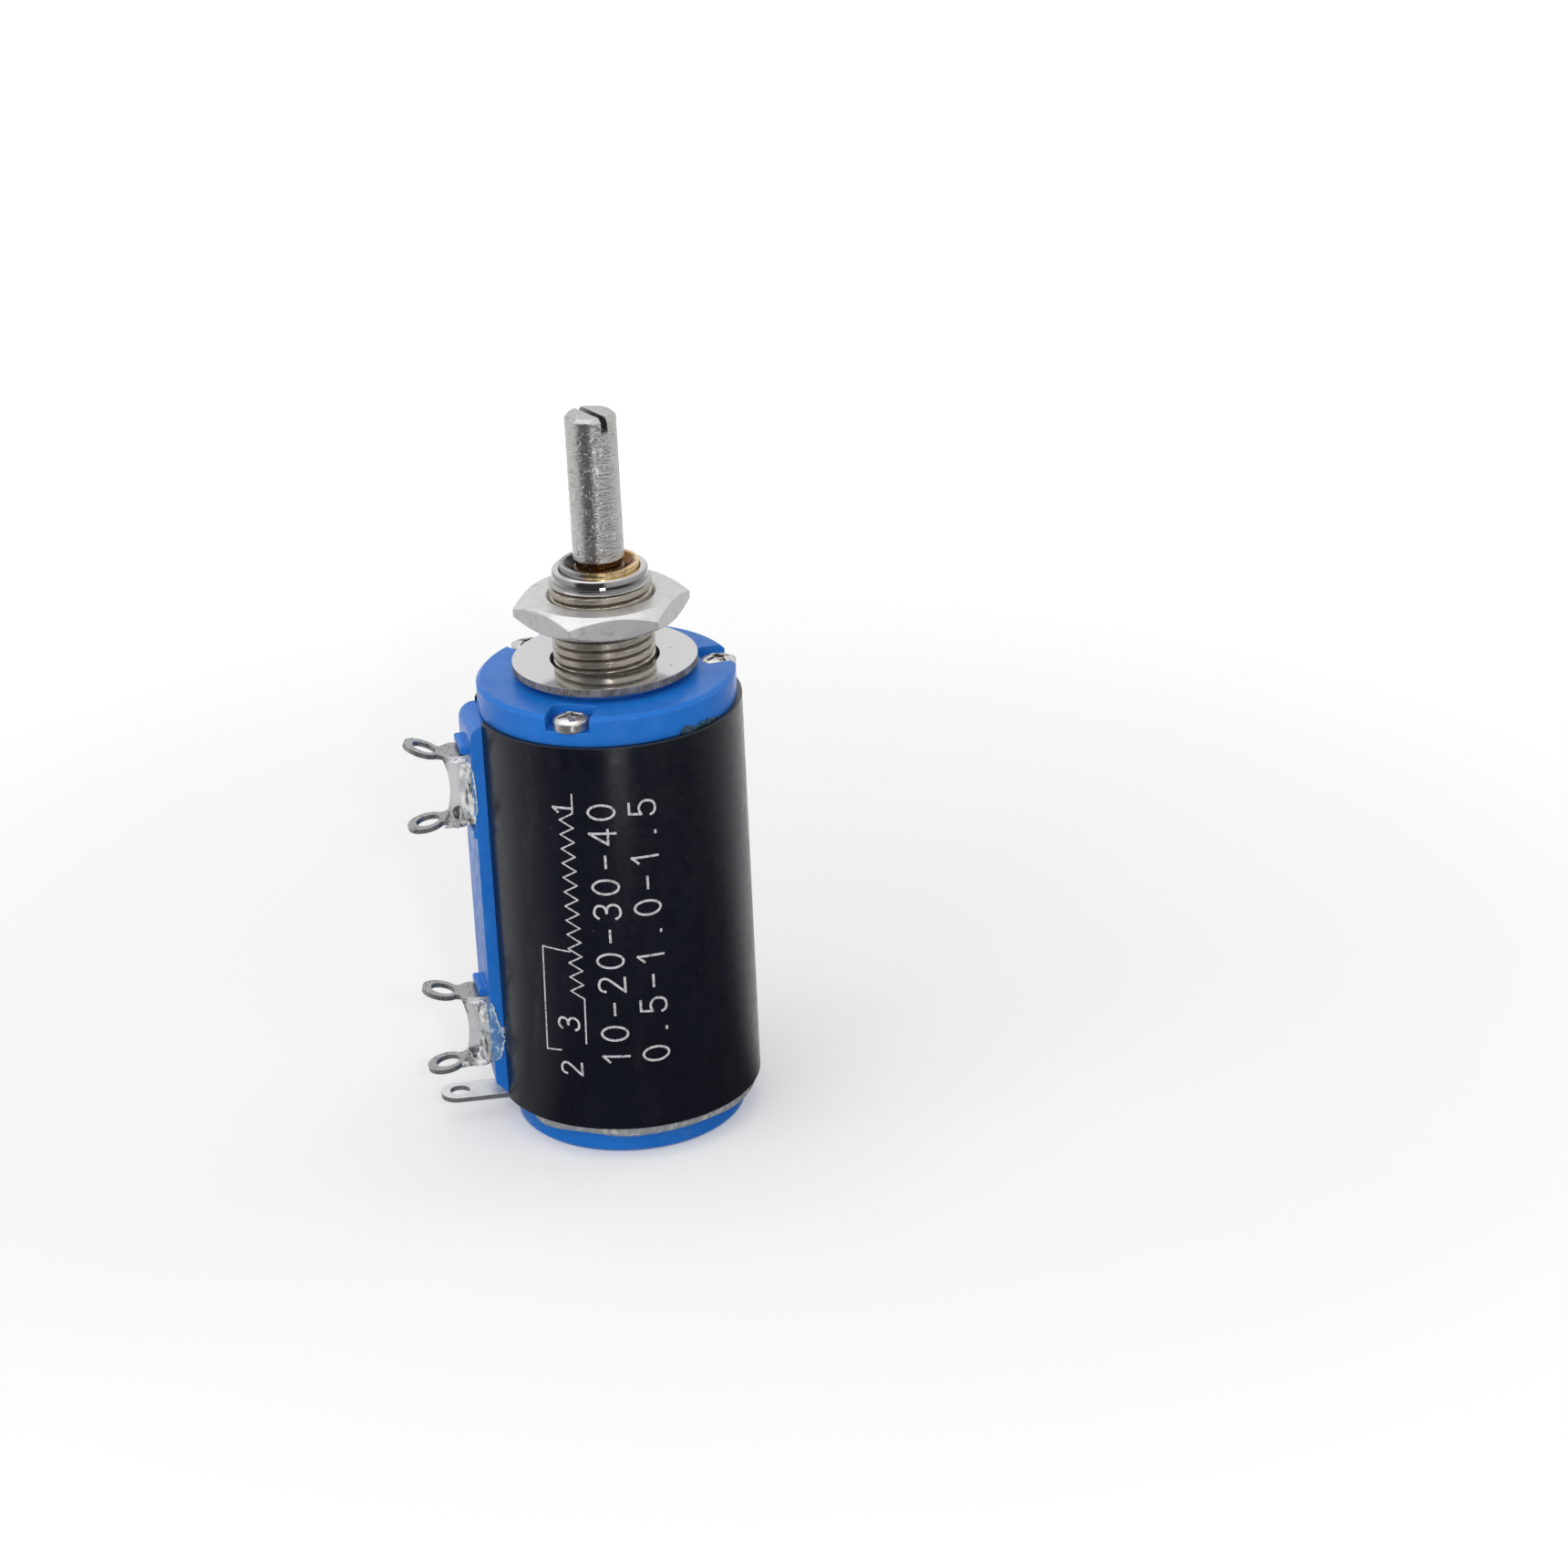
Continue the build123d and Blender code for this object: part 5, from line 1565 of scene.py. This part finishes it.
@dataclass
class CarriedOver:
    """The modelled parts whose shape is right as it is, by the finish that they wear."""

    finishes: tuple[tuple[Finish, tuple[str, ...]], ...] = (
        (BLACK, ("body_tube",)),
        (BLUE, ("front_cover", "rear_cover", "terminal_strip")),
        (SatinShaft("satin_shaft"), ("shaft",)),
        (MouthedBrass("sleeve_brass"), ("bearing_sleeve",)),
        (NICKEL, ("panel_nut",)),
        (EdgedWasher("toothed_washer"), ("panel_washer",)),
        (TinnedSheet("tinned_plate"), ("front_terminal", "rear_end_terminal")),
        (PALE_TIN, ("wiper_terminal",)),
        (BRASS, ("terminal_rivet", "slip_ring", "collector_rod")),
        (BRONZE, ("brush_spring", "wiper_contact")),
        (WoundWire("wound_wire"), ("resistance_helix",)),
        (DRUM, ("rotor_drum",)),
        (SLIDER, ("slider_block",)),
        (THRUST, ("thrust_washer",)),
    )

    def build(self) -> None:
        """Dresses each carried-over part."""
        for finish, names in self.finishes:
            for name in names:
                dress(frame["nodes"][name], finish)
                log.info("%s: %s", name, finish.name)


# ---------------------------------------------------------------- studio


@dataclass(frozen=True)
class Sector:
    """How bright the dark card is by the angle from a middle: one level inside, another outside, in degrees."""

    middle: float
    inner: float
    outer: float
    inside: float
    outside: float

    def light(self, around: Field) -> Field:
        """The level at an angle about the shaft."""
        return around.turned_from(self.middle).level(self.inner, self.outer, self.inside, self.outside)


@dataclass(frozen=True)
class Lamp:
    """Square lamp that looks at the middle of the potentiometer, with its power in watts."""

    name: str
    place: Triple
    size: float
    power: float
    aim: Triple = (0.0, 0.0, 30.0)

    def hang(self) -> None:
        """Adds the lamp."""
        light = bpy.data.lights.new(self.name, "AREA")
        light.size = self.size * MM
        light.energy = self.power
        lamp = new_object(self.name, light)
        lamp.location = Vector(self.place) * MM
        lamp.rotation_euler = (Vector(self.aim) - Vector(self.place)).to_track_quat("-Z", "Y").to_euler()


@dataclass
class Studio:
    """Pale floor, soft light, a dark card that only the gloss sees, and the camera.

    The card's light goes by sectors: close to the case, further out, near its outer end and on its upright part. A
    pale glow lies behind the case's left side, and a bright stripe stands for the flash.
    """

    floor_size: float = 2400.0
    floor_level: float = -0.03
    floor_colour: Colour = (0.80, 0.80, 0.80)
    floor_lift: Pair = (0.22, 0.72)
    floor_reach: Pair = (40.0, 260.0)
    air_light: float = 0.42
    card_near: float = 9.6
    card_far: float = 270.0
    card_top: float = 330.0
    card_bend: float = 60.0
    card_columns: int = 96
    card_middle: float = -85.0
    card_span: float = 160.0
    close: Sector = Sector(-85.0, 74.0, 116.0, 0.075, 0.66)
    glow: Sector = Sector(-166.0, 0.0, 34.0, 0.34, 0.0)
    further: Sector = Sector(-85.0, 44.0, 158.0, 0.075, 1.0)
    outer: Sector = Sector(-121.0, 29.0, 43.0, 0.075, 0.66)
    wall: Sector = Sector(-118.0, 24.0, 52.0, 0.075, 1.0)
    flash: Sector = Sector(-91.0, 4.8, 8.0, 4.0, 0.0)
    further_from: Pair = (40.0, 95.0)
    flash_from: Pair = (92.0, 100.0)
    outer_from: Pair = (128.0, 132.0)
    wall_from: Pair = (5.0, 70.0)
    flash_top: Pair = (1.0, 30.0)
    lamps: tuple[Lamp, ...] = (
        Lamp("overhead_lamp", (-60.0, 40.0, 420.0), 420.0, 0.52),
        Lamp("left_lamp", (-330.0, -160.0, 240.0), 310.0, 0.30),
        Lamp("front_lamp", (-120.0, -330.0, 260.0), 340.0, 0.38),
        Lamp("right_lamp", (330.0, 90.0, 160.0), 210.0, 0.14),
        Lamp("flash_lamp", (8.0, -330.0, 178.0), 16.0, 0.16),
    )
    lens: float = 97.06
    camera_place: Triple = (-29.317, -305.533, 159.28)
    camera_down: float = 23.289
    camera_roll: float = 2.597
    camera_turn: float = -8.0

    def seen_directly(self, look: Look) -> Field:
        """1 for rays from the camera, a gloss or a clear piece, and 0 for soft light."""
        camera, gloss, clear = (look.add("LightPath", f"Is {ray} Ray") for ray in ("Camera", "Glossy", "Transmission"))
        return look.math("MAXIMUM", look.math("MAXIMUM", camera, gloss), clear)

    def air(self) -> None:
        """White all round where it is seen, and a plain level where it only lights."""
        look = Look(bpy.data.worlds.new("studio_air"))
        look.shade(Color=(1.0, 1.0, 1.0),
                   Strength=self.seen_directly(look) * (1.0 - self.air_light) + self.air_light)
        bpy.context.scene.world = look.owner

    def floor(self) -> None:
        """Flat pale floor that keeps the shadow."""
        x, y = np.array([[-1, 1, 1, -1], [-1, -1, 1, 1]]) * self.floor_size / 2
        mesh = new_mesh("studio_floor", np.stack([x, y, np.full(4, self.floor_level)], -1), [[0, 1, 2, 3]])
        look = Look(bpy.data.materials.new("studio_floor"))
        lift = look.axes()[0].level(*self.floor_reach, *self.floor_lift)
        look.shade(Base_Color=self.floor_colour, Roughness=1.0, Specular_IOR_Level=0.0,
                   Emission_Color=(1.0, 1.0, 1.0), Emission_Strength=self.seen_directly(look) * lift)
        mesh.materials.append(look.owner)
        new_object("studio_floor", mesh)

    def card(self) -> None:
        """Dark card in front that only the gloss sees: out along the floor and then up, a fan about the shaft.

        Its points are radius and height of the profile at each angle.
        """
        profile = rounded([(self.card_near, 0.05), (self.card_far, 0.05), (self.card_far, self.card_top)],
                          self.card_bend, 12)
        ends = self.card_middle - self.card_span, self.card_middle + self.card_span
        angle = np.radians(np.linspace(*ends, self.card_columns))
        points = polar(profile[:, :1], angle, profile[:, 1:])
        rows, columns = points.shape[:2]
        start = (np.arange(rows - 1)[:, None] * columns + np.arange(columns - 1)).reshape(-1, 1)
        mesh = new_mesh("dark_card", points, (start + [0, 1, columns + 1, columns]).tolist())
        mesh.materials.append(self.card_light())
        card = new_object("dark_card", mesh)
        card.visible_camera = card.visible_diffuse = card.visible_transmission = card.visible_shadow = False

    def card_light(self) -> bpy.types.Material:
        """Makes the card's light, which rises from dark to white with the angle from each sector's middle.

        Returns:
            The material.
        """
        look = Look(bpy.data.materials.new("dark_card"))
        away, around, height = look.axes()
        close = look.math("MAXIMUM", self.close.light(around), self.glow.light(around))
        inner = away.level(*self.further_from).between(close, self.further.light(around))
        outside = away.level(*self.outer_from)
        flat = outside.between(inner, self.outer.light(around))
        wall = height.level(*self.wall_from) * self.wall.light(around)
        flash = self.flash.light(around) * away.level(*self.flash_from)
        flash = flash * height.level(*self.flash_top, 1.0, 0.0) * (1.0 - outside)
        look.shade(Base_Color=(0.0, 0.0, 0.0), Roughness=1.0, Specular_IOR_Level=0.0,
                   Emission_Color=(1.0, 1.0, 1.0), Emission_Strength=look.math("MAXIMUM", flat, wall) + flash)
        return look.owner

    def camera(self) -> None:
        """Camera that looks down at the potentiometer, rolled and turned a little."""
        down, roll = np.radians(self.camera_down), np.radians(self.camera_roll)
        forward = np.array([0.0, np.cos(down), -np.sin(down)])
        right = np.array([1.0, 0.0, 0.0])
        below = np.array([0.0, -np.sin(down), -np.cos(down)])
        rolled_right = np.cos(roll) * right + np.sin(roll) * below
        rolled_below = np.cos(roll) * below - np.sin(roll) * right
        axes = np.stack([rolled_right, -rolled_below, -forward], -1)
        turn = np.array(Matrix.Rotation(np.radians(self.camera_turn), 3, "Z"))
        data = bpy.data.cameras.new("studio_camera")
        data.lens, data.sensor_width = self.lens, 36.0
        data.clip_start, data.clip_end = 0.01, 10.0
        camera = new_object("studio_camera", data)
        facing = Matrix((turn @ axes).tolist()).to_quaternion()
        camera.matrix_world = Matrix.LocRotScale(Vector(self.camera_place) * MM, facing, None)
        bpy.context.scene.camera = camera

    def build(self) -> None:
        """Sets up the whole studio."""
        self.air()
        self.floor()
        self.card()
        for lamp in self.lamps:
            lamp.hang()
        self.camera()
        bpy.context.scene.view_settings.view_transform = "Standard"
        log.info("studio ready")


def main() -> None:
    """Builds and dresses every sub-assembly, then the studio."""
    logging.basicConfig(level=logging.INFO, format="%(message)s")
    for part in (CarriedOver(), ThreadedBushing(), CoverScrews(), TerminalSolder(), SeamGlue(), SealResidue(),
                 CasePrint(), Studio()):
        part.build()
    log.info("sizes noted")


if __name__ == "__main__":
    main()
